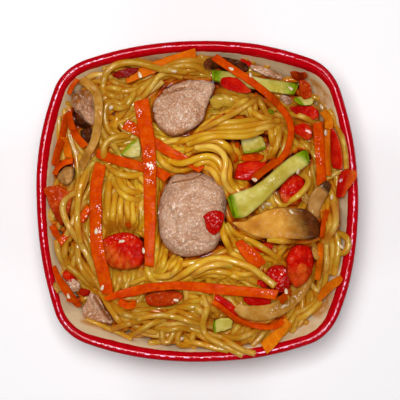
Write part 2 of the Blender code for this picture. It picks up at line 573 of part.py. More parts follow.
def build():
    for obj in list(bpy.data.objects):
        bpy.data.objects.remove(obj, do_unlink=True)
    dish = bpy.data.collections.new("noodle_bowl")
    cutters = bpy.data.collections.new("cutters")
    bpy.context.scene.collection.children.link(dish)
    bpy.context.scene.collection.children.link(cutters)
    root = bpy.data.objects.new("noodle_bowl_origin", None)
    dish.objects.link(root)

    bowl = put("bowl", "bowl", *bowl_mesh(6, 5), dish)
    bowl.parent = root

    cavity = put("cavity", "bowl", *cavity_mesh(6, 5), cutters, smooth=False)
    cavity.hide_render = True
    cavity.display_type = "WIRE"
    mesh = heap_block(0.0042)
    mesh.materials.append(material("noodles"))
    heap = bpy.data.objects.new("noodles", mesh)
    dish.objects.link(heap)
    heap.parent = root
    cut = heap.modifiers.new("inside", "BOOLEAN")
    cut.operation, cut.solver, cut.object = "INTERSECT", "EXACT", cavity

    for item in PILE.items:
        obj = put(item["name"], item["kind"], item["verts"], item["tris"], dish)
        obj.parent = root


build()
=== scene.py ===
"""Noodles with turkey and vegetables in a rounded-square bowl: the finished look.

Metres, +Z up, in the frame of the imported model.  The layout below is the one
that the solids were made from; every topping is made again from it at full
detail, and the heap becomes separate noodles laid over a smaller core.
"""
import math

import bmesh
import bpy
import numpy as np
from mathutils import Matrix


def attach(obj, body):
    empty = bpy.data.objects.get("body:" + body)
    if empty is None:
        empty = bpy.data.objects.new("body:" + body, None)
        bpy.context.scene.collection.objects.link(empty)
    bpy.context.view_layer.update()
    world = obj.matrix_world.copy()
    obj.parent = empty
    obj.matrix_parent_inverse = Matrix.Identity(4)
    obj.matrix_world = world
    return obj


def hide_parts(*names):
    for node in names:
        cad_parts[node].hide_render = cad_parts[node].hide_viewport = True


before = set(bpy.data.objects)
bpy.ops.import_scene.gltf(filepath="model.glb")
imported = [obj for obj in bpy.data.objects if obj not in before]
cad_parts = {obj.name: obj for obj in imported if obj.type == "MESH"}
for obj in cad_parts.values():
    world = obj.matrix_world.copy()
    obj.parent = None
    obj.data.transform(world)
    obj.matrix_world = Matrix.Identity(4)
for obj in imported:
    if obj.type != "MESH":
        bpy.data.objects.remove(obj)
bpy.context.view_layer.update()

# ------------------------------------------------------------ driving sizes
UNIT = 0.46875e-3            # one layout unit, seen from straight above
CU, CV = 197.5, 201.0        # layout centre: u runs right, v runs down
RIM_Z = 0.062                # height of the bowl's rim
EYE = 0.75                   # height above the rim from which the layout is seen
GAP = 0.00036                # air left between two pieces
SIDE_R, SIDE_C = 355.0, 194.5          # rim outline: radius and offset of a side arc
CORNER_R, CORNER_K = 50.0, 95.26       # rim outline: radius and centre of a corner arc
PHI0 = math.radians(18.2)              # where a side arc passes into a corner arc
FLAT_HALF = (SIDE_R - SIDE_C) * UNIT                         # half width across flats
DIAG_HALF = (CORNER_K * math.sqrt(2.0) + CORNER_R) * UNIT    # half width across corners

# bowl profile, millimetres: half width across flats, across corners, height
OUTER = [(25.2, 26.2, 0.0), (30.2, 31.2, 0.0), (30.9, 32.0, 3.4), (38.0, 40.0, 5.2),
         (46.8, 50.2, 11.5), (54.8, 60.0, 20.0), (61.2, 68.6, 30.0), (66.4, 75.2, 40.0),
         (70.9, 81.4, 50.0), (73.6, 84.9, 57.0)]
RIM = [(0.0, 60.0), (-0.45, 61.4), (-1.55, 62.0), (-2.9, 61.9), (-3.95, 61.1), (-4.6, 59.4)]
INNER = [(66.7, 76.8, 50.0), (62.1, 70.6, 40.0), (56.9, 64.0, 30.0), (50.5, 55.5, 20.0),
         (42.3, 45.2, 12.0), (34.0, 35.4, 8.0), (20.0, 20.4, 6.2)]
FLOOR_Z, RECESS_Z = 6.0, 1.6

# how far below the rim the heap meets the wall, by direction (degrees, millimetres)
EDGE_DEPTH = [(0, 9.0), (22, 12.0), (45, 23.0), (66, 12.0), (90, 7.5), (112, 8.0), (135, 14.0), (160, 10.0),
              (180, 8.5), (200, 12.0), (225, 21.0), (250, 10.0), (270, 7.0), (290, 4.0), (303, 9.0),
              (318, 23.0), (338, 10.0)]
CROWN = 4.5                  # how far the heap's middle stands above the rim


# ------------------------------------------------------------ plain geometry
def rim_point(phi):
    """Point of the rim outline whose outward normal points along phi."""
    turn = round(phi / (math.pi / 2))
    a = phi - turn * math.pi / 2
    if abs(a) <= PHI0:
        x, y = SIDE_R * math.cos(a) - SIDE_C, SIDE_R * math.sin(a)
    else:
        x = CORNER_K + CORNER_R * math.cos(a)
        y = math.copysign(CORNER_K, a) + CORNER_R * math.sin(a)
    c, s = math.cos(turn * math.pi / 2), math.sin(turn * math.pi / 2)
    return (x * c - y * s) * UNIT, (x * s + y * c) * UNIT


def phi_samples(side, corner):
    """Normal angles all round: `side` steps on each flat, `corner` on each corner."""
    out = []
    for q in range(4):
        base = q * math.pi / 2
        out += [base - PHI0 + 2 * PHI0 * i / side for i in range(side)]
        out += [base + PHI0 + (math.pi / 2 - 2 * PHI0) * i / corner for i in range(corner)]
    return out


def section(flat, diag, phis, inset=0.0):
    """Rounded square of given half widths (metres): a scaled rim outline plus an even offset."""
    alpha = (diag - flat) / (DIAG_HALF - FLAT_HALF)
    beta = flat - alpha * FLAT_HALF - inset
    pts = []
    for p in phis:
        x, y = rim_point(p)
        pts.append((alpha * x + beta * math.cos(p), alpha * y + beta * math.sin(p)))
    return pts


def loft(rings, low=None, high=None):
    """Triangles through closed rings of equal count, ends closed by a fan to a point."""
    n = len(rings[0])
    verts = [tuple(p) for ring in rings for p in ring]
    tris = []
    for k in range(len(rings) - 1):
        for i in range(n):
            a, b = k * n + i, k * n + (i + 1) % n
            c, d = b + n, a + n
            tris += [(a, b, c), (a, c, d)]
    for centre, k, flip in ((low, 0, True), (high, len(rings) - 1, False)):
        if centre is None:
            centre = np.mean([rings[k][i] for i in range(n)], axis=0)
        verts.append(tuple(centre))
        m = len(verts) - 1
        for i in range(n):
            a, b = k * n + i, k * n + (i + 1) % n
            tris.append((b, a, m) if flip else (a, b, m))
    return np.array(verts, float), np.array(tris, int)


def smooth_path(pts, step):
    """Evenly spaced points of a Catmull-Rom curve through pts."""
    p = np.array(pts, float)
    if len(p) == 2:
        n = max(2, int(np.linalg.norm(p[1] - p[0]) / step) + 1)
        return p[0] + (p[1] - p[0]) * np.linspace(0, 1, n)[:, None]
    q = np.vstack([2 * p[0] - p[1], p, 2 * p[-1] - p[-2]])
    dense = []
    for i in range(1, len(q) - 2):
        t = np.linspace(0, 1, 24, endpoint=False)[:, None]
        a, b, c, d = q[i - 1], q[i], q[i + 1], q[i + 2]
        dense.append(0.5 * (2 * b + (c - a) * t + (2 * a - 5 * b + 4 * c - d) * t ** 2
                            + (3 * b - a - 3 * c + d) * t ** 3))
    dense = np.vstack(dense + [q[-2][None]])
    s = np.concatenate([[0], np.cumsum(np.linalg.norm(np.diff(dense, axis=0), axis=1))])
    n = max(3, int(round(s[-1] / step)) + 1)
    want = np.linspace(0, s[-1], n)
    return np.stack([np.interp(want, s, dense[:, k]) for k in range(dense.shape[1])], axis=1)


# ------------------------------------------------------------ heights
CELL, SPAN = 0.0005, 0.089
NCELL = int(2 * SPAN / CELL) + 1
AXIS = -SPAN + CELL * np.arange(NCELL)


def at(field, x, y):
    i = np.clip(np.rint((np.asarray(x) + SPAN) / CELL).astype(int), 0, NCELL - 1)
    j = np.clip(np.rint((np.asarray(y) + SPAN) / CELL).astype(int), 0, NCELL - 1)
    return field[i, j]


def spread(field, n, lowest=False):
    """Largest (or lowest) value within n cells."""
    f = np.minimum if lowest else np.maximum
    out = field
    for axis in (0, 1):
        best = out.copy()
        for k in range(1, n + 1):
            for s in (k, -k):
                best = f(best, np.roll(out, s, axis=axis))
        out = best
    return out


def shadow(verts, tris):
    """Top and underside heights of a closed mesh on the grid (-1 and +1 outside it)."""
    top = np.full((NCELL, NCELL), -1.0)
    low = np.full((NCELL, NCELL), 1.0)
    for t in tris:
        a, b, c = verts[t[0]], verts[t[1]], verts[t[2]]
        det = (b[0] - a[0]) * (c[1] - a[1]) - (c[0] - a[0]) * (b[1] - a[1])
        if abs(det) < 1e-13:
            continue
        i0 = max(int(math.floor((min(a[0], b[0], c[0]) + SPAN) / CELL)), 0)
        i1 = min(int(math.ceil((max(a[0], b[0], c[0]) + SPAN) / CELL)), NCELL - 1)
        j0 = max(int(math.floor((min(a[1], b[1], c[1]) + SPAN) / CELL)), 0)
        j1 = min(int(math.ceil((max(a[1], b[1], c[1]) + SPAN) / CELL)), NCELL - 1)
        if i1 < i0 or j1 < j0:
            continue
        x, y = AXIS[i0:i1 + 1][:, None], AXIS[j0:j1 + 1][None, :]
        wb = ((x - a[0]) * (c[1] - a[1]) - (c[0] - a[0]) * (y - a[1])) / det
        wc = ((b[0] - a[0]) * (y - a[1]) - (x - a[0]) * (b[1] - a[1])) / det
        inside = (wb >= -1e-6) & (wc >= -1e-6) & (wb + wc <= 1 + 1e-6)
        z = a[2] + wb * (b[2] - a[2]) + wc * (c[2] - a[2])
        part = top[i0:i1 + 1, j0:j1 + 1]
        part[inside] = np.maximum(part[inside], z[inside])
        part = low[i0:i1 + 1, j0:j1 + 1]
        part[inside] = np.minimum(part[inside], z[inside])
    return top, low


def bowl_mesh(side, corner):
    phis = phi_samples(side, corner)
    rings = []
    for f, d, z in OUTER:
        rings.append([(x, y, z / 1000) for x, y in section(f / 1000, d / 1000, phis)])
    for inset, z in RIM:
        rings.append([(x, y, z / 1000) for x, y in section(FLAT_HALF, DIAG_HALF, phis, -inset / 1000)])
    for f, d, z in INNER:
        rings.append([(x, y, z / 1000) for x, y in section(f / 1000, d / 1000, phis)])
    rings.insert(0, [(x * 0.97, y * 0.97, RECESS_Z / 1000) for x, y, _ in rings[0]])
    return loft(rings, (0, 0, RECESS_Z / 1000), (0, 0, FLOOR_Z / 1000))


def cavity_mesh(side, corner):
    """The bowl's inside, a gap smaller than the wall, open to above the heap."""
    phis = phi_samples(side, corner)
    top = RIM[-1]
    rows = [(FLAT_HALF + top[0] / 1000, DIAG_HALF + top[0] / 1000, top[1] / 1000)]
    rows += [(f / 1000, d / 1000, z / 1000) for f, d, z in INNER]
    rows = rows[::-1]
    rings = [[(x, y, z + GAP) for x, y in section(f, d, phis, GAP)] for f, d, z in rows]
    f, d, z = rows[-1]
    rings.append([(x, y, z + 0.03) for x, y in section(f, d, phis, GAP)])
    return loft(rings, (0, 0, FLOOR_Z / 1000 + GAP), (0, 0, rows[-1][2] + 0.03))


# the rim's radius by direction, for the heap's outline
_RING = np.array([rim_point(p) for p in phi_samples(24, 24)])
_RANG = np.arctan2(_RING[:, 1], _RING[:, 0])
_ORD = np.argsort(_RANG)
_RANG, _RRAD = _RANG[_ORD], np.hypot(_RING[_ORD, 0], _RING[_ORD, 1])
_DEG = np.array([a for a, _ in EDGE_DEPTH], float)
_DEP = np.array([d for _, d in EDGE_DEPTH], float) / 1000


def dome(x, y):
    """The heap's plain surface: a flat crown falling to an uneven edge."""
    x, y = np.asarray(x, float), np.asarray(y, float)
    ang = np.arctan2(y, x)
    edge_r = np.interp(ang, _RANG, _RRAD, period=2 * math.pi) - 0.0046
    q = np.hypot(x, y) / edge_r
    depth = np.zeros_like(q)
    for k in (-1, 0, 1):         # a smooth blend of the edge depths by direction
        depth = depth + np.interp(np.degrees(ang) + 5 * k, _DEG, _DEP, period=360) / 3
    crown = RIM_Z + CROWN / 1000
    z = crown - (depth + CROWN / 1000) * np.clip(q, 0, 1.1) ** 3.0
    z = z + 0.0007 * np.sin(210 * x + 90 * y + 0.6) * np.cos(170 * y - 60 * x) + 0.0005 * np.sin(330 * y - 1.0)
    return z


def place(u, v):
    """Layout units to metres, at the height of the heap there."""
    x, y = (u - CU) * UNIT, -(v - CV) * UNIT
    z = min(float(dome(x, y)), 0.075)
    k = 1 - (z - RIM_Z) / EYE
    return x * k, y * k


class Pile:
    """Everything laid so far, as heights: `top` of what is there, `low` of the toppings."""

    def __init__(self):
        verts, tris = bowl_mesh(6, 5)
        top, _ = shadow(verts, tris)
        self.bowl = top
        self.top = spread(top, 1)
        self.low = np.full((NCELL, NCELL), 1.0)
        gx, gy = np.meshgrid(AXIS, AXIS, indexing="ij")
        self.dome = dome(gx, gy)
        self.rest = np.maximum(self.dome, self.top + GAP)     # what a topping rests on
        self.items = []

    def lay(self, name, kind, verts, tris, extra, lift_ok=True):
        top, low = shadow(verts, tris)
        seen = top > -0.5
        rise = 0.0
        if lift_ok:
            wide_low = spread(low, 1, True)
            m = wide_low < 0.9
            need = (self.top - wide_low + GAP)[m]
            rise = max(0.0, float(need.max()))
        if rise:
            verts = verts + np.array([0, 0, rise])
            top = np.where(seen, top + rise, top)
            low = np.where(low < 0.9, low + rise, low)
        self.top = np.maximum(self.top, spread(top, 1))
        self.low = np.minimum(self.low, spread(low, 1, True))
        self.items.append(dict(name=name, kind=kind, verts=verts, tris=tris, rise=rise, **extra))


PILE = Pile()


def seat(xs, ys, cx, cy, steep=1.2):
    """Slope and height of the plane that best fits what lies under the points."""
    z = at(PILE.rest, xs, ys)
    m = np.column_stack([xs - cx, ys - cy, np.ones(len(xs))])
    gx, gy, base = np.linalg.lstsq(m, z, rcond=None)[0]
    k = min(1.0, steep / max(math.hypot(gx, gy), 1e-9))
    return gx * k, gy * k, float(base)


def strip(name, kind, pts, width, thick, sink=0.5, pitch=5.0, stiff=3.0, rigid=False, fat=False, ends=0.0):
    """A cut strip laid along pts (layout units): width (start, end) in units, thickness in mm.

    It follows what lies below it as far as its stiffness lets it, or, if rigid, lies straight.
    fat gives it bevelled edges; ends is the rise in mm of its two ends above its straight line.
    """
    w0, w1 = (width if isinstance(width, tuple) else (width, width))
    ctrl = np.array([place(u, v) for u, v in pts])
    line = smooth_path(ctrl, 0.0007)
    s = np.concatenate([[0], np.cumsum(np.linalg.norm(np.diff(line, axis=0), axis=1))])
    length = s[-1]
    n = max(3, int(math.ceil(length / (pitch / 1000))) + 1)
    sk = np.linspace(0, length, n)
    knots = np.stack([np.interp(sk, s, line[:, 0]), np.interp(sk, s, line[:, 1])], axis=1)
    tan = np.gradient(knots, axis=0)
    tan /= np.linalg.norm(tan, axis=1)[:, None]
    nor = np.stack([-tan[:, 1], tan[:, 0]], axis=1)
    sub = 8
    f = np.linspace(0, n - 1, (n - 1) * sub + 1)
    k0 = np.minimum(f.astype(int), n - 2)
    t = (f - k0)[:, None]
    pos = knots[k0] * (1 - t) + knots[k0 + 1] * t
    nrm = nor[k0] * (1 - t) + nor[k0 + 1] * t
    half = (w0 + (w1 - w0) * f / (n - 1)) * UNIT / 2
    th = thick / 1000
    wide = half + 0.0004
    left = at(PILE.rest, pos[:, 0] + nrm[:, 0] * half, pos[:, 1] + nrm[:, 1] * half)
    right = at(PILE.rest, pos[:, 0] - nrm[:, 0] * half, pos[:, 1] - nrm[:, 1] * half)
    tilt = np.clip((left - right) / (2 * half), -1.2, 1.2)
    box = np.ones(2 * sub + 1) / (2 * sub + 1)
    tilt = np.convolve(np.pad(tilt, sub, mode="edge"), box, mode="valid")
    want = at(PILE.rest, pos[:, 0], pos[:, 1]) - sink / 1000
    need = np.full(len(f), -1.0)
    for v in np.linspace(-1, 1, 9):
        g = at(PILE.top, pos[:, 0] + nrm[:, 0] * wide * v, pos[:, 1] + nrm[:, 1] * wide * v)
        need = np.maximum(need, g + GAP - tilt * wide * v)
    plain = want
    want = np.maximum(want, need)
    if rigid:
        m = f / (n - 1)
        lo, hi = np.median(plain[: max(2, len(f) // 4)]), np.median(plain[-max(2, len(f) // 4):])
        z = lo + (hi - lo) * m + ends / 1000 * (2 * m - 1) ** 2
        z = z + max(0.0, float((need - z).max()))
    else:
        per = length / (len(f) - 1)
        r = max(1, int(stiff / 1000 / per))
        padded = np.pad(want, 2 * r, mode="edge")
        big = np.array([padded[i:i + 2 * r + 1].max() for i in range(len(padded) - 2 * r)])
        box = np.ones(2 * r + 1) / (2 * r + 1)
        z = np.convolve(big, box, mode="valid")
        for _ in range(3):
            zk = z[::sub]
            lin = zk[k0] * (1 - t[:, 0]) + zk[k0 + 1] * t[:, 0]
            lack = np.maximum(need - lin, 0)
            if lack.max() <= 1e-6:
                break
            seg = np.array([lack[k * sub:(k + 1) * sub + 1].max() for k in range(n - 1)])
            z[::sub] += np.maximum(np.append(seg, 0), np.insert(seg, 0, 0))
    zk, tk, hk = z[::sub], tilt[::sub], half[::sub]
    if fat:
        prof = [(-0.72, 0.0), (0.72, 0.0), (1.0, 0.28), (1.0, 0.7), (0.66, 1.0), (-0.66, 1.0), (-1.0, 0.7), (-1.0, 0.28)]
    else:
        prof = [(-1.0, 0.0), (1.0, 0.0), (0.94, 1.0), (-0.94, 1.0)]
    rings = []
    for k in range(n):
        ring = []
        for a, b in prof:
            v = -a * hk[k]
            ring.append((knots[k, 0] + nor[k, 0] * v, knots[k, 1] + nor[k, 1] * v, zk[k] + tk[k] * v + b * th))
        rings.append(ring[::-1])
    verts, tris = loft(rings)
    PILE.lay(name, kind, verts, tris, dict(form="strip", line=np.column_stack([knots, zk]), tilt=tk, half=hk,
                                           thick=th, fat=fat))


def lump(name, kind, u, v, length, width, turn, up, down, square=2.4, flat=1.0, taper=0.0, bend=0.0, rough=0.05,
         seed=1, around=14, over=6, lean=(0.0, 0.0), fold=None):
    """A rounded chunk: a sphere shaped to a superellipse of length x width (units), up and down in mm.

    flat under 1 squares its sides; fold is (offset, depth, turn) of a crease across its top.
    """
    a, b = length * UNIT / 2, width * UNIT / 2
    t = -math.radians(turn)

    def shape(around, over):
        bm = bmesh.new()
        bmesh.ops.create_uvsphere(bm, u_segments=around, v_segments=over, radius=1.0)
        bmesh.ops.triangulate(bm, faces=bm.faces)
        bm.verts.index_update()
        ball = np.array([tuple(p.co) for p in bm.verts])
        tris = np.array([[p.index for p in f.verts] for f in bm.faces])
        bm.free()
        th = np.arctan2(ball[:, 1], ball[:, 0])
        r = np.hypot(ball[:, 0], ball[:, 1])
        rho = np.where(r > 1e-9, r ** flat, 0.0)
        e = 2.0 / square
        cx = np.sign(np.cos(th)) * np.abs(np.cos(th)) ** e
        cy = np.sign(np.sin(th)) * np.abs(np.sin(th)) ** e
        wob = 1 + rough * (np.sin(2 * th + seed) + 0.8 * np.sin(3 * th + 2.3 * seed)
                           + 0.5 * np.sin(5 * th + 4.1 * seed))
        x, y = a * cx * rho * wob, b * cy * rho * wob
        y = y * (1 + taper * x / a) + bend * UNIT * (1 - (x / a) ** 2) - bend * UNIT * 0.5
        z = np.sign(ball[:, 2]) * np.abs(ball[:, 2]) ** flat
        z = np.where(z > 0, z * up, z * down) / 1000
        z = z + rough * 0.03 * np.sin(7 * x / a + seed) * np.cos(5 * y / b - seed) * (ball[:, 2] > 0) * (up / 10)
        if fold:
            off, deep, ft = fold
            d = (x * math.cos(ft) + y * math.sin(ft)) / a - off
            z = z - np.where(ball[:, 2] > 0.1, deep / 1000 * np.exp(-(d / 0.12) ** 2), 0)
        return x * math.cos(t) - y * math.sin(t), x * math.sin(t) + y * math.cos(t), z, ball, tris

    X, Y, z, ball, tris = shape(around, over)
    cxw, cyw = place(u, v)
    gx, gy, base = seat(X + cxw, Y + cyw, cxw, cyw)
    gx, gy = gx + lean[0], gy + lean[1]
    verts = np.column_stack([X + cxw, Y + cyw, z + gx * X + gy * Y + base])
    PILE.lay(name, kind, verts, tris, dict(form="lump", shape=shape, plane=(cxw, cyw, gx, gy, base), turn=t,
                                           up=up / 1000, half=(a, b), seed=seed))


def plate(name, kind, outline, up, down, bulge=0.0, around=14, lean=(0.0, 0.0), inset=0.88):
    """A flat-cut piece: a smooth closed outline (units) with bevelled edges, up and down in mm."""
    ctrl = np.array([place(u, v) for u, v in outline])
    loop = np.vstack([ctrl[-2:], ctrl, ctrl[:2]])
    dense = []
    for i in range(1, len(loop) - 2):
        t = np.linspace(0, 1, 16, endpoint=False)[:, None]
        a, b, c, d = loop[i - 1], loop[i], loop[i + 1], loop[i + 2]
        dense.append(0.5 * (2 * b + (c - a) * t + (2 * a - 5 * b + 4 * c - d) * t ** 2
                            + (3 * b - a - 3 * c + d) * t ** 3))
    dense = np.vstack(dense[1:len(ctrl) + 1])
    dense = np.vstack([dense, dense[:1]])
    s = np.concatenate([[0], np.cumsum(np.linalg.norm(np.diff(dense, axis=0), axis=1))])

    def shape(around):
        want = np.linspace(0, s[-1], around, endpoint=False)
        ring = np.stack([np.interp(want, s, dense[:, k]) for k in range(2)], axis=1)
        area = 0.5 * np.sum(ring[:, 0] * np.roll(ring[:, 1], -1) - np.roll(ring[:, 0], -1) * ring[:, 1])
        return ring[::-1] if area < 0 else ring

    ring = shape(around)
    c = ring.mean(axis=0)
    inner = np.vstack([c + (ring - c) * k for k in (1.0, 0.66, 0.33)])
    gx, gy, base = seat(inner[:, 0], inner[:, 1], c[0], c[1])
    gx, gy = gx + lean[0], gy + lean[1]
    up, down, bulge = up / 1000, down / 1000, bulge / 1000

    def level(scale, h):
        p = c + (ring - c) * scale
        return [(q[0], q[1], base + h + gx * (q[0] - c[0]) + gy * (q[1] - c[1])) for q in p]
    rings = [level(inset, -down), level(1.0, -down * 0.45), level(1.0, up * 0.55 - bulge * 0.3), level(inset, up)]
    verts, tris = loft(rings, (c[0], c[1], base - down), (c[0], c[1], base + up + bulge))
    PILE.lay(name, kind, verts, tris, dict(form="plate", shape=shape, plane=(c[0], c[1], gx, gy, base), up=up,
                                           down=down, bulge=bulge, inset=inset))


# ------------------------------------------------------------ the toppings, lowest first
# sunk chunks
lump("turkey_centre", "turkey", 191.5, 215, 84, 67, 84, 10.5, 7.0, square=2.35, taper=0.06, rough=0.03, seed=13,
     around=26, over=8, flat=0.78, fold=(-0.8, 1.5, 0.25))
plate("turkey_upper", "turkey", [(166, 85), (190, 80), (212, 82), (213, 96), (205, 109), (198, 124), (182, 134),
                                 (167, 133), (156, 120), (153, 104), (160, 94)], 6.0, 6.0, bulge=2.2, around=20,
      inset=0.8)
lump("turkey_left", "turkey", 82, 108, 38, 24, 78, 6.0, 5.0, square=2.3, rough=0.08, seed=5, around=16,
     fold=(-0.55, 1.6, 0.3))
lump("tomato_left", "tomato", 124.5, 251, 40, 36, 8, 6.5, 6.0, square=3.2, flat=0.75, rough=0.035, seed=9, around=16)
lump("tomato_mid", "tomato", 293, 190, 27, 26, 30, 3.6, 5.5, square=2.6, flat=0.8, rough=0.05, seed=11, around=14)
plate("tomato_flat", "tomato", [(235, 166), (248, 161), (262, 161), (269, 165), (260, 174), (246, 179), (234, 177)],
      2.2, 3.0, bulge=0.8)
plate("tomato_upper", "tomato", [(295, 124), (304, 123), (311, 128), (309, 138), (297, 138)], 2.4, 2.6, around=10)
plate("pepper_upper", "pepper", [(294, 108), (312, 106), (319, 112), (313, 119), (300, 117)], 2.0, 2.0, around=10)
lump("tomato_crimson", "tomato", 278, 279.5, 26, 23, 60, 5.5, 4.5, square=2.1, rough=0.03, seed=19, around=14)
lump("tomato_low", "tomato", 300, 259, 36, 26, 118, 5.5, 5.5, square=2.8, flat=0.8, rough=0.04, seed=17, around=14)
plate("tomato_bit", "tomato", [(254, 247), (262, 243), (273, 244), (270, 251), (260, 252)], 1.0, 2.2, around=10)
lump("tomato_bottom", "tomato", 163, 298, 36, 17, 172, 2.0, 5.0, square=2.8, rough=0.05, seed=21, around=14)
plate("pepper_under", "pepper", [(243, 298), (256, 297), (270, 299), (268, 305), (250, 305)], 0.6, 2.4, around=10)
plate("zucchini_mid", "zucchini", [(242, 135), (256, 132), (267, 138), (264, 149), (250, 153), (242, 148)], 2.4, 3.2,
      around=12)
plate("zucchini_left", "zucchini", [(121, 151), (132, 140), (139, 143), (138, 154), (130, 157)], 1.6, 2.8, around=10)
plate("zucchini_bottom", "zucchini", [(214, 320), (228, 318), (233, 323), (230, 328), (218, 332), (214, 328)],
      2.4, 2.4, around=10)
lump("onion_pale", "onion", 220, 105, 16, 11, 100, 2.0, 2.0, seed=4, around=10, over=5, bend=2)
# along the wall, left side first
strip("carrot_wall", "carrot", [(61, 286), (69, 298), (82, 312)], 8, 1.6, sink=0.0)
lump("turkey_bit", "turkey", 74, 284, 14, 12, 40, 2.6, 2.4, seed=2, around=10, over=5)
plate("turkey_slice", "turkey", [(91, 297), (97, 293), (104, 302), (112, 319), (100, 319), (90, 313), (88, 304)],
      2.6, 2.2, bulge=1.0)
plate("tomato_wedge", "pepper", [(46, 190), (58, 187), (71, 195), (67, 208), (62, 226), (55, 214), (50, 201)],
      2.4, 1.6, bulge=0.6)
strip("carrot_m", "carrot", [(64, 116), (57, 136), (54, 154), (53, 166)], 6, 1.8, sink=0.3)
strip("carrot_n", "carrot", [(65, 138), (69, 158)], 8, 2.0, sink=0.8)
lump("mushroom_knob", "mushroom", 67, 175, 20, 16, 120, 3.6, 3.4, taper=0.3, seed=3, around=12)
plate("mushroom_dark_left", "mushroom_cap", [(80, 133), (88, 134), (95, 139), (93, 146), (85, 143)],
      0.8, 1.6, around=10)
strip("carrot_l", "carrot", [(73, 130), (78, 138), (86, 147)], 8, 1.8, sink=0.6)
strip("carrot_i", "carrot", [(197, 55), (175, 62), (152, 69), (128, 80)], (9, 8), 2.2, sink=0.4, pitch=7)
plate("pepper_dark", "pepper", [(116, 71), (124, 68), (134, 69), (129, 74), (119, 77)], 0.9, 1.0, around=10)
plate("mushroom_dark_top", "mushroom_cap", [(205, 63), (212, 58), (226, 58), (243, 63), (239, 69), (222, 67), (207, 70)],
      1.2, 1.4, around=12)
strip("turkey_strip", "turkey", [(250, 68), (262, 70), (276, 76)], (8, 8), 2.6, sink=0.8, fat=True)
plate("tomato_curl", "pepper", [(290, 74), (297, 70), (305, 74), (304, 80), (296, 80)], 1.8, 1.2, around=10)
plate("tomato_leaf", "pepper", [(300, 82), (306, 82), (311, 88), (310, 94), (303, 93)], 1.4, 1.0, around=10)
plate("zucchini_corner", "zucchini", [(293, 99), (303, 97), (312, 99), (310, 105), (299, 105)], 1.4, 1.6, around=10)
strip("zucchini_top", "zucchini", [(214, 77), (252, 83), (296, 90)], (13, 14), 5.2, sink=3.4, stiff=9,
      fat=True, pitch=9)
plate("pepper_top", "pepper", [(221, 81), (229, 78), (240, 84), (251, 92), (239, 94), (226, 92)], 1.2, 0.9, around=10)
strip("carrot_h", "carrot", [(329, 125), (327, 145), (328, 176)], 7, 1.8, sink=0.6, pitch=7)
strip("pepper_right", "pepper", [(336, 135), (340, 152), (341, 165)], (8, 8.5), 2.4, sink=0.6)
plate("tomato_rim", "pepper", [(341, 171), (351, 171), (353, 178), (345, 191), (342, 197), (336, 196), (337, 181)],
      2.0, 1.2, bulge=0.6)
# long strips and the pieces that lie on others
strip("carrot_c", "carrot", [(125, 124), (140, 132), (158, 145), (175, 155), (190, 163), (202, 170)], (11, 9), 2.0,
      sink=0.8, stiff=4, pitch=6)
strip("carrot_d", "carrot", [(97, 153), (115, 160), (138, 166), (158, 172), (168, 178)], (9, 10), 2.0, sink=0.8,
      pitch=6)
strip("carrot_a", "carrot", [(101, 164), (96, 188), (95.5, 220), (98, 256), (106, 294)], (12.5, 12), 2.2, sink=0.8,
      stiff=6, pitch=7)
strip("carrot_b", "carrot", [(141, 102), (147, 138), (150, 172), (149.5, 222), (148.5, 266)], (14, 11), 2.3, sink=0.5,
      stiff=7, pitch=7)
strip("onion_left", "onion", [(83, 80), (96, 93), (100, 112), (96, 138), (88, 155), (81, 168)], (9, 8), 1.8, sink=0.2,
      stiff=4)
strip("carrot_g", "carrot", [(317, 123), (319, 150), (321, 186)], (10, 10.5), 2.2, sink=0.5, stiff=4, pitch=7)
strip("carrot_f", "carrot", [(214, 58), (233, 72), (262, 92), (284, 112), (290.5, 130), (286, 152), (272, 168)],
      (8, 6.5), 2.0, sink=0.6, stiff=4)
strip("zucchini_stick", "zucchini", [(231, 206), (247, 201), (268, 183), (288, 167), (306, 156)], (23, 15), 7.5,
      sink=2.4, rigid=True, fat=True, pitch=9)
strip("mushroom_slab", "mushroom", [(329, 184), (321, 195), (315, 204)], (11, 15), 3.4, sink=1.8, fat=True)
plate("mushroom_slice", "mushroom", [(230, 223), (246, 221), (263, 214), (284, 208), (302, 211), (317, 221), (319, 236),
                                     (304, 240), (268, 240), (244, 232)], 3.8, 2.6, bulge=0.8, around=20, inset=0.9)
strip("carrot_u", "carrot", [(240, 242), (248, 251), (259, 263)], (10, 11), 2.0, sink=0.8)
strip("carrot_w", "carrot", [(320, 243), (319, 257), (317, 280)], 6, 1.8, sink=0.6)
strip("carrot_x", "carrot", [(338, 278), (330, 285), (321, 294)], 9, 1.8, sink=0.4)
strip("pepper_bottom", "pepper", [(218, 300), (227, 306), (237, 314)], (7, 8), 2.0, sink=0.8)
strip("onion_right", "onion", [(240, 312), (254, 317), (270, 316), (288, 308), (302, 295), (310, 282)], (9, 8), 2.2,
      sink=0.4, stiff=4)
strip("carrot_e", "carrot", [(108, 300), (130, 293), (160, 286), (190, 286), (220, 289), (250, 291), (277, 294)],
      (10, 11), 2.2, sink=0.5, stiff=5, pitch=7)
strip("carrot_j", "carrot", [(288, 320), (277, 333), (263, 347)], (11, 12), 2.0, sink=0.5)
lump("tomato_skin", "tomato", 214, 221, 25, 18, 118, 2.8, 0.5, square=2.2, rough=0.08, seed=15, around=12, over=5)

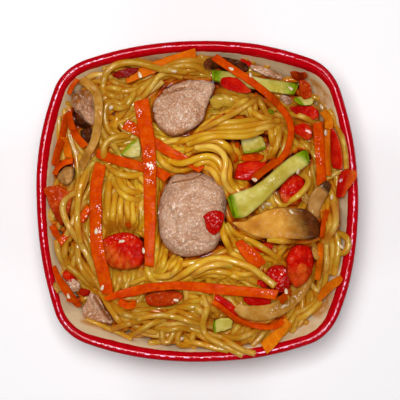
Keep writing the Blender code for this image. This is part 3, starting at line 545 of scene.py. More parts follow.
# ------------------------------------------------------------ fine shapes
def lattice(p, seed):
    """Smooth random field on a unit lattice, -1 to 1, for points p (n, 3)."""
    i = np.floor(p).astype(np.int64)
    f = p - i
    f = f * f * (3 - 2 * f)
    total = np.zeros(len(p))
    for dx in (0, 1):
        for dy in (0, 1):
            for dz in (0, 1):
                h = (i[:, 0] + dx) * 374761393 + (i[:, 1] + dy) * 668265263 + (i[:, 2] + dz) * 2147483647 + seed * 974711
                h = (h ^ (h >> 13)) * 1274126177
                h = (h ^ (h >> 16)) & 0xFFFF
                w = ((f[:, 0] if dx else 1 - f[:, 0]) * (f[:, 1] if dy else 1 - f[:, 1])
                     * (f[:, 2] if dz else 1 - f[:, 2]))
                total += w * (h / 32767.5 - 1)
    return total


def grain(p, per_metre, seed, octaves=3, stretch=(1, 1, 1)):
    p = np.asarray(p, float) * np.array(stretch)
    out, amp = np.zeros(len(p)), 1.0
    for k in range(octaves):
        out += amp * lattice(p * per_metre * 2 ** k + 17.3 * k, seed + 7 * k)
        amp *= 0.5
    return out


def facing(verts, tris):
    """Vertex normals."""
    a, b, c = verts[tris[:, 0]], verts[tris[:, 1]], verts[tris[:, 2]]
    n = np.cross(b - a, c - a)
    out = np.zeros_like(verts)
    for k in range(3):
        np.add.at(out, tris[:, k], n)
    return out / np.maximum(np.linalg.norm(out, axis=1), 1e-15)[:, None]


def outward(verts, tris):
    """The triangles, turned so that the closed mesh's volume is positive."""
    a, b, c = verts[tris[:, 0]], verts[tris[:, 1]], verts[tris[:, 2]]
    return tris if np.einsum("ij,ij->i", a, np.cross(b, c)).sum() > 0 else tris[:, ::-1]


def through(cols, step, near=3):
    """Rows of values read evenly along a smooth curve through the knots; the first three are the place."""
    p = np.array(cols, float)
    q = np.vstack([2 * p[0] - p[1], p, 2 * p[-1] - p[-2]])
    dense = []
    for i in range(1, len(q) - 2):
        t = np.linspace(0, 1, 16, endpoint=False)[:, None]
        a, b, c, d = q[i - 1], q[i], q[i + 1], q[i + 2]
        dense.append(0.5 * (2 * b + (c - a) * t + (2 * a - 5 * b + 4 * c - d) * t ** 2
                            + (3 * b - a - 3 * c + d) * t ** 3))
    dense = np.vstack(dense + [q[-2][None]])
    s = np.concatenate([[0], np.cumsum(np.linalg.norm(np.diff(dense[:, :near], axis=0), axis=1))])
    n = max(4, int(round(s[-1] / step)) + 1)
    want = np.linspace(0, s[-1], n)
    return np.stack([np.interp(want, s, dense[:, k]) for k in range(dense.shape[1])], axis=1), want


def box_profile(h, t, c, crown=0.0):
    """Rounded rectangle: half width h, thickness t, corner c, as (across, up) pairs, anticlockwise."""
    c = min(c, 0.48 * t, 0.48 * h)
    pts = []
    for cx, cy, a0 in ((h - c, c, -90), (h - c, t - c, 0), (-h + c, t - c, 90), (-h + c, c, 180)):
        for k in range(5):
            a = math.radians(a0 + 22.5 * k)
            pts.append((cx + c * math.cos(a), cy + c * math.sin(a)))
        if a0 == 0:
            pts += [((h - c) * k, t + crown * (1 - k * k)) for k in (0.6, 0.2, -0.2, -0.6)]
        if a0 == 180:
            pts += [((h - c) * k, 0.0) for k in (-0.6, -0.2, 0.2, 0.6)]
    return np.array(pts)


def fine_strip(item, seed, step=0.0008, corner=0.45, uneven=0.05, crown=0.0, skew=(0.0, 0.0), twist=0.0):
    """A cut strip swept along its knots, with rounded edges, uneven width and slanting cut ends."""
    knots = item["line"].copy()
    knots[:, 2] += item["rise"]
    cols = np.column_stack([knots, item["tilt"], item["half"]])
    rows, s = through(cols, step)
    n = len(rows)
    pos, tilt, half = rows[:, :3], rows[:, 3], rows[:, 4]
    th = item["thick"]
    tan = np.gradient(pos[:, :2], axis=0)
    tan /= np.maximum(np.linalg.norm(tan, axis=1), 1e-12)[:, None]
    nor = np.stack([-tan[:, 1], tan[:, 0]], axis=1)
    k = np.column_stack([s, np.zeros(n), np.zeros(n)])
    left = 1 + uneven * grain(k, 160, seed)
    right = 1 + uneven * grain(k, 160, seed + 31)
    deep = 1 + uneven * 0.8 * grain(k, 130, seed + 57)
    tilt = tilt + twist * np.sin(s / s[-1] * math.pi * 2 + seed)
    prof = box_profile(float(half.mean()), th, corner / 1000, crown / 1000)
    m = len(prof)
    v = prof[:, 0][None, :] / half.mean() * half[:, None]
    v = np.where(v > 0, v * left[:, None], v * right[:, None])
    b = prof[:, 1][None, :] * deep[:, None]
    c = corner / 1000
    close = np.ones(n)
    slide = np.zeros((n, m))
    total = s[-1]
    for side, sk in ((s, skew[0]), (total - s, skew[1])):
        sign = -1 if side is s else 1
        slide += sign * sk * v * np.clip(1 - side / (2.2 * half), 0, 1)[:, None]
    mid = b.mean(axis=1, keepdims=True)
    rings = []
    order = [(0, 0.80, 0.0), (0, 0.93, 0.25 * c), (0, 1.0, 0.8 * c)]
    stations = [(k, sc, off) for k, sc, off in order] + [(k, 1.0, 0.0) for k in range(1, n - 1)]
    stations += [(n - 1, sc, -off) for k, sc, off in order[::-1]]
    for k, sc, off in stations:
        vv = v[k] * (1 - (1 - sc) * min(1.0, 2 * th / (2 * half[k])))
        bb = mid[k] + (b[k] - mid[k]) * sc
        along = slide[k] + off
        x = pos[k, 0] + nor[k, 0] * vv + tan[k, 0] * along
        y = pos[k, 1] + nor[k, 1] * vv + tan[k, 1] * along
        rings.append(np.column_stack([x, y, pos[k, 2] + tilt[k] * vv + bb]))
    verts, tris = loft(rings)
    tris = outward(verts, tris)
    share = np.concatenate([np.repeat([s[k] / total for k, _, _ in stations], m), [0.0, 1.0]])
    across = np.concatenate([np.concatenate([v[k] / half[k] for k, _, _ in stations]), [0.0, 0.0]])
    return verts, tris, share, across


def fine_lump(item, around=128, over=72):
    x, y, z, ball, tris = item["shape"](around, over)
    cx, cy, gx, gy, base = item["plane"]
    verts = np.column_stack([x + cx, y + cy, z + gx * x + gy * y + base + item["rise"]])
    return verts, outward(verts, tris), ball


def fine_plate(item, around=88, rings=1):
    """A flat-cut piece with round edges: rings run from under its middle, round the edge, to its top."""
    ring = item["shape"](around)
    c = ring.mean(axis=0)
    _, _, gx, gy, base = item["plane"]
    base = base + item["rise"]
    up, down, bulge, inset = item["up"], item["down"], item["bulge"], item["inset"]
    prof = [(k, -down) for k in (0.25, 0.5, 0.75)]
    bev = [(inset, -down), (0.5 + 0.5 * inset, -down * 0.92), (0.985, -down * 0.72), (1.0, -down * 0.45),
           (1.0, 0.0), (1.0, up * 0.5 - bulge * 0.3), (0.99, up * 0.78 - bulge * 0.2), (0.5 + 0.5 * inset, up * 0.94),
           (inset, up)]
    prof += bev
    for k in np.linspace(0.95, 0.04, 9 * rings):
        prof.append((inset * k, up + bulge * (1 - k * k)))
    loops = []
    for sc, h in prof:
        p = c + (ring - c) * sc
        loops.append(np.column_stack([p, base + h + gx * (p[:, 0] - c[0]) + gy * (p[:, 1] - c[1])]))
    verts, tris = loft(loops, (c[0], c[1], base - down), (c[0], c[1], base + up + bulge))
    share = np.concatenate([np.repeat([sc for sc, _ in prof], around), [0, 0]])
    return verts, outward(verts, tris), share


def roughen(verts, tris, per_metre, mm, seed, octaves=3, stretch=(1, 1, 1)):
    n = facing(verts, tris)
    return verts + n * (grain(verts, per_metre, seed, octaves, stretch) * mm / 1000)[:, None]


def to_units(verts):
    """Layout units of points seen from the layout's eye."""
    k = 1 - (verts[:, 2] - RIM_Z) / EYE
    return CU + verts[:, 0] / k / UNIT, CV - verts[:, 1] / k / UNIT


# ------------------------------------------------------------ noodles
RAD = 0.00145                # radius of one noodle
RNG = np.random.default_rng(20)
GX, GY = np.meshgrid(AXIS, AXIS, indexing="ij")
ITEM = {item["name"]: item for item in PILE.items}
PILE.tops = {}


def item_maps(name):
    """Heights of the top and underside of one topping."""
    if name not in PILE.tops:
        item = ITEM[name]
        top, low = shadow(item["verts"], item["tris"])
        PILE.tops[name] = (spread(top, 1), low)
    return PILE.tops[name]


def soften(field, n, rounds=2):
    box = np.ones(2 * n + 1) / (2 * n + 1)
    out = field
    for _ in range(rounds):
        for axis in (0, 1):
            out = np.apply_along_axis(lambda r: np.convolve(np.pad(r, n, mode="edge"), box, mode="valid"), axis, out)
    return out


CORE_DROP = 0.0068           # the core's surface lies this far below the heap's
CEILING = spread(PILE.low, 1, True) - 0.0002


def core_height():
    lift = 0.0009 * np.sin(190 * GX + 1.0) * np.cos(230 * GY)
    z = np.minimum(PILE.dome - CORE_DROP + lift, CEILING - 0.0022)
    return z


CORE = core_height()
HEAP = np.maximum(CORE, PILE.bowl + 0.0002)      # noodles rest on this; it rises as they are laid
LAID = []                                        # (points, radius, kind, end styles)
# these get only a little of the painted gap shade
CLEAR = set()                                    # noodles that lie by themselves against the wall
OUT_U, OUT_V = to_units(np.column_stack([GX.ravel(), GY.ravel(), PILE.dome.ravel()]))
OUT_U, OUT_V = OUT_U.reshape(GX.shape), OUT_V.reshape(GX.shape)
BARE = ((OUT_U > 337.5) & (OUT_V > 190) & (OUT_V < 236)) | ((OUT_U > 341) & (OUT_V >= 236) & (OUT_V < 272))   # bare wall
OUT = BARE | (PILE.bowl < 0) | (np.hypot(GX, GY) > np.interp(np.arctan2(GY, GX), _RANG, _RRAD, period=2 * math.pi) - 0.006)


def level(field, x, y):
    """Bilinear height."""
    fx = np.clip((np.asarray(x) + SPAN) / CELL, 0, NCELL - 1.001)
    fy = np.clip((np.asarray(y) + SPAN) / CELL, 0, NCELL - 1.001)
    i, j = fx.astype(int), fy.astype(int)
    u, v = fx - i, fy - j
    return (field[i, j] * (1 - u) * (1 - v) + field[i + 1, j] * u * (1 - v)
            + field[i, j + 1] * (1 - u) * v + field[i + 1, j + 1] * u * v)


def rolling(z, r, peak):
    pad = np.pad(z, r, mode="edge")
    view = np.lib.stride_tricks.sliding_window_view(pad, 2 * r + 1)
    return view.max(axis=1) if peak else view.mean(axis=1)


def drape(path, r, over=(), under=True, reach=0.0022, ease=0.004, press=0.0003, sink=0.0):
    """Centre heights of a noodle along a plan path: it lies on the heap and on the toppings named in over."""
    tan = np.gradient(path, axis=0)
    tan /= np.maximum(np.linalg.norm(tan, axis=1), 1e-12)[:, None]
    nor = np.stack([-tan[:, 1], tan[:, 0]], axis=1)
    ground = HEAP
    for name in over:
        ground = np.maximum(ground, item_maps(name)[0])
    need = np.full(len(path), -1.0)
    for v in (-0.9, -0.6, -0.3, 0.0, 0.3, 0.6, 0.9):
        g = level(ground, path[:, 0] + nor[:, 0] * v * r, path[:, 1] + nor[:, 1] * v * r)
        need = np.maximum(need, g + r * math.sqrt(1 - v * v))
    step = float(np.linalg.norm(path[1] - path[0]))
    z = rolling(need, max(1, int(reach / step)), True)
    z = rolling(rolling(z, max(1, int(ease / step)), False), max(1, int(0.0015 / step)), False)
    z = np.maximum(z - sink, need - press - sink)
    if under:
        lid = np.full(len(path), 1.0)
        rest = CEILING
        if over:
            rest = np.full((NCELL, NCELL), 1.0)
            for name, item in ITEM.items():
                if name not in over:
                    low = item_maps(name)[1]
                    rest = np.minimum(rest, low)
            rest = spread(rest, 1, True) - 0.0002
        for v in (-0.8, 0.0, 0.8):
            lid = np.minimum(lid, level(rest, path[:, 0] + nor[:, 0] * v * r, path[:, 1] + nor[:, 1] * v * r)
                             - r * math.sqrt(1 - v * v))
        if (z > lid).any():
            n = max(1, int(0.003 / step))
            low = -rolling(-np.minimum(z, lid), n, True)
            low = rolling(low, n, False)
            z = np.where(rolling((z > lid).astype(float), 2 * n, True) > 0, np.minimum(np.minimum(z, low), lid), z)
            z = np.minimum(rolling(z, max(1, n // 2), False), lid)
    for _ in range(2):
        z = rolling(z, max(1, int(0.0006 / step)), False)
    return z


def stamp(pts, r):
    """Raises the heap's height map by one noodle."""
    reach = int(math.ceil(r / CELL)) + 1
    seg = np.linalg.norm(np.diff(pts, axis=0), axis=1)
    s = np.concatenate([[0], np.cumsum(seg)])
    n = max(2, int(s[-1] / 0.0004))
    want = np.linspace(0, s[-1], n)
    p = np.stack([np.interp(want, s, pts[:, k]) for k in range(3)], axis=1)
    i = np.rint((p[:, 0] + SPAN) / CELL).astype(int)
    j = np.rint((p[:, 1] + SPAN) / CELL).astype(int)
    for di in range(-reach, reach + 1):
        for dj in range(-reach, reach + 1):
            a, b = np.clip(i + di, 0, NCELL - 1), np.clip(j + dj, 0, NCELL - 1)
            d2 = (AXIS[a] - p[:, 0]) ** 2 + (AXIS[b] - p[:, 1]) ** 2
            ok = d2 < r * r
            if ok.any():
                np.maximum.at(HEAP, (a[ok], b[ok]), p[ok, 2] + np.sqrt(r * r - d2[ok]))


def resample(path, step):
    s = np.concatenate([[0], np.cumsum(np.linalg.norm(np.diff(path, axis=0), axis=1))])
    n = max(4, int(round(s[-1] / step)) + 1)
    want = np.linspace(0, s[-1], n)
    return np.stack([np.interp(want, s, path[:, k]) for k in range(path.shape[1])], axis=1)


def lay_noodle(path, r, kind, over=(), under=True, sink=0.0, ends=(1, 1), dip=(0.0036, 0.0036), **how):
    path = resample(path, 0.0006)
    z = drape(path, r, over, under, sink=sink, **how)
    s = np.linspace(0, 0.0006 * (len(path) - 1), len(path))
    for d, side, end in ((dip[0], s, 0), (dip[1], s[-1] - s, -1)):
        room = float(z[end]) - float(at(PILE.bowl, path[end][0], path[end][1]))
        d = min(d, max(0.0, 0.35 * room))
        t = np.clip(side / min(0.0080, 0.45 * s[-1]), 0, 1)
        z = z - d * (1 - t * t * (3 - 2 * t))
    pts = np.column_stack([path, z])
    stamp(pts, r)
    LAID.append((pts, r, kind, ends))
    return pts


# ---- the noodles that can be told apart, in layout units: (path, width, laid over, side copies)
HERO = [
    # deep ones first
    ([(58, 240), (60, 252), (66, 268)], 6, (), ()),
    ([(67, 241), (66, 252), (67, 264)], 6.3, (), ()),
    ([(72, 262), (78, 277), (84, 287), (94, 291)], 6.2, (), (-6,)),
    ([(90, 194), (85, 201), (80, 209), (72, 226), (66, 238)], 5.8, (), (6,)),
    ([(86, 214), (86, 228), (90, 246)], 6, (), (6,)),
    ([(105.5, 186), (106, 206), (107, 226), (110, 240)], 6.2, (), (), "bc"),
    ([(110, 176), (108.5, 195), (109, 215), (111, 236)], 6.4, (), (), "bc"),
    ([(117, 186), (115, 204), (113.5, 220), (116, 236)], 6.2, (), (), "bc"),
    ([(124, 190), (121, 206), (122, 220), (127, 236)], 6.2, (), (), "bc"),
    ([(134, 191), (132.5, 206), (134, 220), (130, 234)], 6.2, (), (), "bc"),
    ([(141, 190), (141, 206), (138.5, 222), (136, 238)], 6.2, (), (), "bc"),
    ([(130, 191), (128, 206), (129, 218), (121, 232)], 5.8, (), (), "bc"),
    ([(118, 175.8), (122.4, 185.8), (130, 191.3), (138, 192.4), (146, 188)], 6.6, (), (-5.5,)),
    ([(159, 238), (156, 254), (153, 272)], 6.2, (), (5.8,)),
    ([(166, 250), (164, 262), (161, 272)], 5.6, (), ()),
    ([(122.4, 268), (120, 278), (120, 287)], 6, (), (6,)),
    ([(140, 260), (145, 270), (148, 280)], 6, (), ()),
    ([(125, 286), (134, 282.5), (145.5, 277.5)], 5.4, (), (), "b"),
    ([(124, 301.5), (136, 297.5), (148, 293)], 6, (), ()),
    # upper left
    ([(84, 84), (90, 77.5), (99, 75), (108, 76.5), (116, 82)], 6, (), (-5.5,)),
    ([(108, 79.5), (118, 84), (129.5, 87)], 5.6, (), ()),
    ([(105, 88.5), (114, 89), (123, 91)], 5.6, (), ()),
    ([(104, 94.5), (112, 96), (119, 99)], 5.6, (), ()),
    ([(120, 92), (122, 97), (121.5, 103)], 5, (), ()),
    ([(136, 86), (133, 96), (127, 106), (121, 115), (114, 122)], 6.2, (), (6.2,)),
    ([(163, 82), (152, 90), (143, 97), (139, 104)], 5.8, (), (-5.6,), "a"),
    ([(153.5, 74.5), (142, 80.5), (136, 87), (133.5, 97), (131, 104)], 5.8, (), ()),
    ([(182, 77), (168, 73.5), (159, 77.5), (152, 87), (143, 97), (134, 103)], 5.8, (), ()),
    ([(150, 71), (163, 73), (176, 79)], 6, (), ()),
    ([(163, 74), (177, 67.5), (192, 66.5), (204, 71), (212, 79)], 6.4, ("carrot_i",), (5.8,)),
    ([(192, 62), (204, 66), (213, 74)], 6, (), ()),
    ([(60.5, 101), (66, 103), (73, 106.5)], 5.6, (), (), "ac"),
    ([(119, 103.5), (111, 102.8), (106.5, 108), (105.6, 118), (108.5, 129), (115, 135), (124, 137.5), (138, 137)],
     6.2, (), (-5.8,)),
    ([(112, 107), (121, 109), (128, 106)], 6.4, (), (5.5,)),
    # middle left
    ([(66, 120), (70, 140), (77, 156), (84, 166)], 6, (), (7,)),
    ([(60, 118), (60, 140), (60, 160)], 5.6, (), (6,)),
    ([(118, 147), (121, 154), (119, 163)], 5.6, (), ()),
    ([(154, 146), (158, 155), (164, 164), (175, 170), (187, 169), (197, 164.5), (206, 161.5), (213, 164), (219, 172)], 6.4,
     ("carrot_c",), ()),
    ([(169, 160), (178, 163.5), (187, 162.5), (198, 158.5), (209, 156.5), (218, 161), (223, 171), (226, 182)], 6.4,
     ("carrot_c",), ()),
    ([(146, 152), (156, 163), (160, 176)], 6, (), ()),
    # middle
    ([(150, 184), (154, 196), (154, 212)], 6, (), ()),
    ([(205, 167), (212, 171), (217, 178), (222, 187)], 6.2, ("carrot_c",), ()),
    ([(168, 145), (181, 141.5), (196, 137.5), (209, 134.5)], 6, (), ()),
    ([(170, 149.5), (183, 149.5), (196, 145), (208, 141.5)], 6, (), ()),
    ([(186, 156), (198, 150), (212, 149), (223, 155), (229, 166), (229, 178), (234, 188)], 6.2, (), (6.2,)),
    ([(190, 144), (206, 140.5), (219, 142), (230, 151), (233.8, 164), (231.5, 177), (237, 186.5), (247, 189)], 6.4,
     (), (-6.3,)),
    ([(238, 140), (236, 152), (237, 166)], 5.8, (), ()),
    ([(206, 100), (218, 96), (232, 97), (246, 104)], 7, (), (6.5, -6.5)),
    ([(210, 92), (222, 90), (236, 93), (250, 99)], 6.2, (), ()),
    ([(214, 112), (228, 106), (240, 108), (250, 116)], 6.2, (), (5.8,)),
    ([(244, 100), (249, 109), (252, 120)], 6.2, (), (5.8,)),
    ([(204, 127), (223, 123.8), (241, 122.4), (262, 119), (284, 114)], 6.2, (), ()),
    ([(208, 130.5), (228, 128.8), (252, 126), (274, 122), (289, 119.5)], 6.2, ("zucchini_mid",), ()),
    ([(190, 139), (207, 135.5), (229, 133.8), (248, 132.4), (268, 127.6), (289, 124.5)], 6.2, ("zucchini_mid",), ()),
    ([(188, 144.5), (212, 137.8), (232, 137.6), (248, 136.8), (262, 131)], 5.8, ("zucchini_mid",), ()),
    ([(257, 93), (243.5, 102), (227, 111), (212, 119.5), (199, 126.5), (190, 130)], 6, (), ()),
    ([(260, 97.5), (247, 106), (232, 115), (216, 123.5), (201, 130.5)], 5.6, (), ()),
    ([(256, 94), (260.5, 104), (266.5, 115)], 6, (), ()),
    ([(264.5, 98.5), (272, 103), (280.5, 110)], 6, (), ()),
    ([(250, 110), (258, 117), (270, 120)], 5.6, (), ()),
    # upper right
    ([(291, 113.5), (302, 117), (315, 123)], 5.6, ("pepper_upper",), ()),
    ([(294, 143), (304, 148), (312, 152)], 6, (), (6,)),
    ([(269, 128), (271, 137), (273, 147)], 6, (), (6,)),
    ([(278, 127), (277.5, 140), (274, 151), (268, 162)], 6.2, (), ()),
    ([(287, 128), (285.5, 142), (281, 153), (274.5, 163)], 6.2, (), ()),
    ([(256, 152), (264, 156), (270, 162)], 5.6, (), ()),
    ([(310, 160), (312.5, 175), (316, 192)], 6, (), ()),
    ([(304, 160), (305, 175), (309, 186)], 5.6, (), ()),
    ([(325, 124), (326, 142), (325, 160), (323, 178)], 6, (), ()),
    ([(296, 173.5), (304, 175.5), (308, 181.5), (303.5, 190), (294, 198.5), (283.5, 205)], 6, ("tomato_mid",), ()),
    ([(327.5, 111), (332, 120), (336.5, 131), (340.5, 144), (342.8, 157), (344, 169)], 5.2, ("pepper_right",), (), "c"),
    ([(264, 178), (258, 190), (262, 202), (272, 210)], 5.8, (), (6,)),
    ([(272, 196), (284, 208), (296, 212)], 5.8, (), ()),
    ([(242, 182), (248, 190), (246, 202)], 6, (), ()),
    # right
    ([(324, 238), (323, 256), (325.5, 276)], 6, (), (-5,)),
    ([(328, 204), (330.5, 218), (333.5, 230), (337, 243), (335, 262), (333, 274)], 6.2, (), (-5.5,)),
    ([(330.5, 196), (333.5, 207), (333, 222), (328.5, 235), (325.5, 251), (326, 268), (322, 285)], 6.4, (), (-5.8,)),
    ([(334, 233), (342.5, 235), (346.5, 243), (342, 252.5), (334, 250)], 6, (), ()),
    ([(327, 184), (331, 194), (335, 204)], 5.6, (), ()),
    ([(312, 286), (317.5, 296), (318, 305), (311.5, 313)], 6, (), (-5.6,)),
    ([(330, 262), (322, 278), (318, 292)], 5.6, (), ()),
    ([(320, 300), (308, 312), (293, 322)], 6, (), (-5.5,)),
    # lower middle, fanning out from under the turkey
    ([(275.5, 241), (275.5, 250), (274, 259)], 5.4, (), ()),
    ([(290, 243), (282, 250), (277, 258)], 5.4, (), ()),
    ([(243, 268), (247, 276), (250, 287)], 6, (), ()),
    ([(228, 268), (228, 278), (231, 288)], 5.6, (), (6,)),
    ([(262, 268), (268, 276), (270, 288)], 5.6, (), ()),
    ([(222, 266), (219.5, 276), (213.5, 287)], 6, (), ()),
    ([(234, 270), (240, 274), (256, 273)], 5.4, (), ()),
    ([(190, 274), (201, 269), (214, 265.5), (228, 265.5), (240, 270)], 6, (), (-5.6,)),
    ([(152, 273.5), (160, 276.3), (169, 275), (179, 268.5), (187, 261), (197, 256.5), (210, 253)], 6.2, (), ()),
    ([(181, 259), (177, 268), (170, 276)], 5.6, (), ()),
    ([(148, 263), (149, 273), (155, 280.5), (168, 281.5), (182, 274.5), (195, 266), (208, 259.8), (223, 258.5),
      (240, 263.2), (252, 268), (262.5, 276), (274, 285)], 6.8, ("carrot_u", "tomato_crimson"), (), "b"),
    ([(184, 280), (196, 272.5), (208, 266), (220, 263.8), (232, 265)], 6.2, (), ()),
    ([(222, 222), (223, 234), (228.5, 246), (232, 254)], 6.2, ("turkey_centre",), ()),
    ([(224, 225), (231, 236.5), (238, 248), (243, 258)], 6.4, ("turkey_centre",), ()),
    ([(226, 224), (235, 232.5), (252, 241), (268, 251), (277.5, 258.5)], 6, ("turkey_centre", "tomato_bit"), ()),
    ([(267, 238.8), (284, 240.5), (306.5, 241.5)], 6, ("mushroom_slice",), (), "b"),
    # bottom
    ([(177, 301.5), (190, 301.5), (204, 299)], 6, (), (6,)),
    ([(207, 298), (215, 306), (222, 318)], 5.6, (), ()),
    ([(166.5, 322), (162.5, 332), (163.5, 339.5), (169, 340.5), (174, 331), (181, 322)], 6.2, (), ()),
    ([(184, 323), (178.5, 333), (178.5, 342.5), (186, 344.5), (195, 343)], 6.2, (), ()),
    ([(196, 330), (192, 338), (197, 345)], 5.8, (), ()),
    ([(131, 335), (143, 327.5), (155, 321.5), (166, 321)], 6, (), ()),
    ([(87, 318.5), (98, 323), (111, 328.5), (123, 333.5), (132, 338)], 4.6, (), (), "abc"),
    ([(156, 327), (168, 329), (180, 327), (192, 330)], 5.8, (), (6,)),
    ([(239, 319), (232, 327), (226, 334)], 6, (), (6,)),
    ([(250, 322), (242, 331), (234, 338)], 6, (), ()),
    ([(259, 325), (251, 335), (242, 342)], 6, (), (-6,)),
    ([(268, 326), (261, 336), (252, 345)], 6, (), (-6,)),
    ([(222, 336), (236, 338), (250, 333), (262, 327)], 6, (), ()),
    ([(185, 340.5), (200, 343), (214, 347), (228, 349.5)], 6, (), ()),
    ([(250, 300), (262, 303), (276, 300), (288, 296)], 5.8, (), (6,)),
    ([(218, 306), (224, 314), (236, 317)], 5.6, (), ()),
    ([(100, 292), (110, 306.5), (122, 322), (127, 328)], 6.4, ("turkey_slice",), ()),
    ([(106.5, 297), (121.5, 311), (136, 316.5), (146, 318)], 6.4, (), (-5.8,)),
    ([(113, 328.5), (126, 323), (141, 319.5)], 6, (), ()),
    ([(135, 319), (149, 315.5), (163.5, 314.5), (178, 317), (190, 321), (201, 324)], 5.8, (), ()),
    ([(211, 295.5), (206.5, 309.5), (203, 322), (205, 333), (212.5, 339), (225.5, 345.5), (242, 353.5)], 6.4, (), (), "b"),
    ([(206, 326.5), (217.5, 334.3), (229, 341.5), (242, 348.5), (254, 352)], 5.8, (), (), "b"),
    # the long loops that lie over others
    ([(76, 193.5), (69.5, 196.5), (65, 203.5), (64.8, 212), (68.5, 222), (75, 234), (83, 247), (90, 259), (95, 271),
      (99, 282)], 6.2, ("tomato_wedge",), ()),
    ([(78, 244), (79, 257), (83, 269), (90, 279), (99, 287)], 6.2, (), ()),
    ([(104, 158), (95, 161.5), (87.5, 170), (82.5, 182), (79.5, 196), (78.5, 212), (79, 228), (81, 242)], 6.2,
     ("carrot_a",), ()),
    ([(186, 72), (174, 71.5), (163, 70.8), (149, 66.3), (136, 63.2), (122, 64.3), (112.8, 68), (107, 74), (104.3, 82.5),
      (103, 92), (103.5, 100)], 6.6, ("carrot_i", "pepper_dark"), ()),
    ([(138, 136.5), (124, 136), (113, 138.5), (106, 144), (104.3, 153), (106.3, 162), (112, 169.5), (121, 174.8),
      (132, 176), (142.5, 173.5)], 6.6, ("carrot_d", "zucchini_left"), ()),
]


def flow_from(paths):
    """A field of directions (as doubled angles) that follows the given paths."""
    n = 72
    ax = np.linspace(-SPAN, SPAN, n)
    fx, fy = np.meshgrid(ax, ax, indexing="ij")
    c, s = np.zeros((n, n)), np.zeros((n, n))
    for p in paths:
        q = resample(p, 0.002)
        t = np.gradient(q, axis=0)
        a = 2 * np.arctan2(t[:, 1], t[:, 0])
        for k in range(len(q)):
            w = np.exp(-((fx - q[k, 0]) ** 2 + (fy - q[k, 1]) ** 2) / (2 * 0.0055 ** 2)) + \
                0.004 * np.exp(-((fx - q[k, 0]) ** 2 + (fy - q[k, 1]) ** 2) / (2 * 0.02 ** 2))
            c += w * math.cos(a[k])
            s += w * math.sin(a[k])
    swirl = 2 * (np.arctan2(fy, fx) + math.pi / 2)
    c += 0.002 * np.cos(swirl)
    s += 0.002 * np.sin(swirl)
    return ax, np.arctan2(s, c) / 2


def follow(flow, x, y, heading, length, wild, bend, top_gap, need, patience):
    """Traces one noodle's plan path through the field until it is long enough or finds no room."""
    ax, angle = flow
    n = len(ax)
    phase = RNG.uniform(0, 20, 3)
    pts, lost = [(x, y)], 0
    step = 0.001
    for k in range(int(length / step)):
        i = min(max(int((x + SPAN) / (2 * SPAN) * (n - 1) + 0.5), 0), n - 1)
        j = min(max(int((y + SPAN) / (2 * SPAN) * (n - 1) + 0.5), 0), n - 1)
        d = (angle[i, j] - heading + math.pi / 2) % math.pi - math.pi / 2
        t = k * step
        wob = math.sin(t * 95 + phase[0]) + 0.7 * math.sin(t * 210 + phase[1]) + 0.5 * math.sin(t * 41 + phase[2])
        turn = min(max(0.16 * d * (1 - wild), -0.14), 0.14) + wild * 0.10 * wob + bend
        heading += min(max(turn, -0.26), 0.26)
        x, y = x + math.cos(heading) * step, y + math.sin(heading) * step
        a = min(max(int(round((x + SPAN) / CELL)), 0), NCELL - 1)
        b = min(max(int(round((y + SPAN) / CELL)), 0), NCELL - 1)
        room = PILE.dome[a, b] + top_gap - HEAP[a, b]
        lid = CEILING[a, b] - HEAP[a, b]
        if OUT[a, b]:
            break
        if room < need or lid < 0.0010:
            lost += 1
            if lost > patience or lid < 0.0004:
                break
        else:
            lost = 0
        pts.append((x, y))
    return np.array(pts)


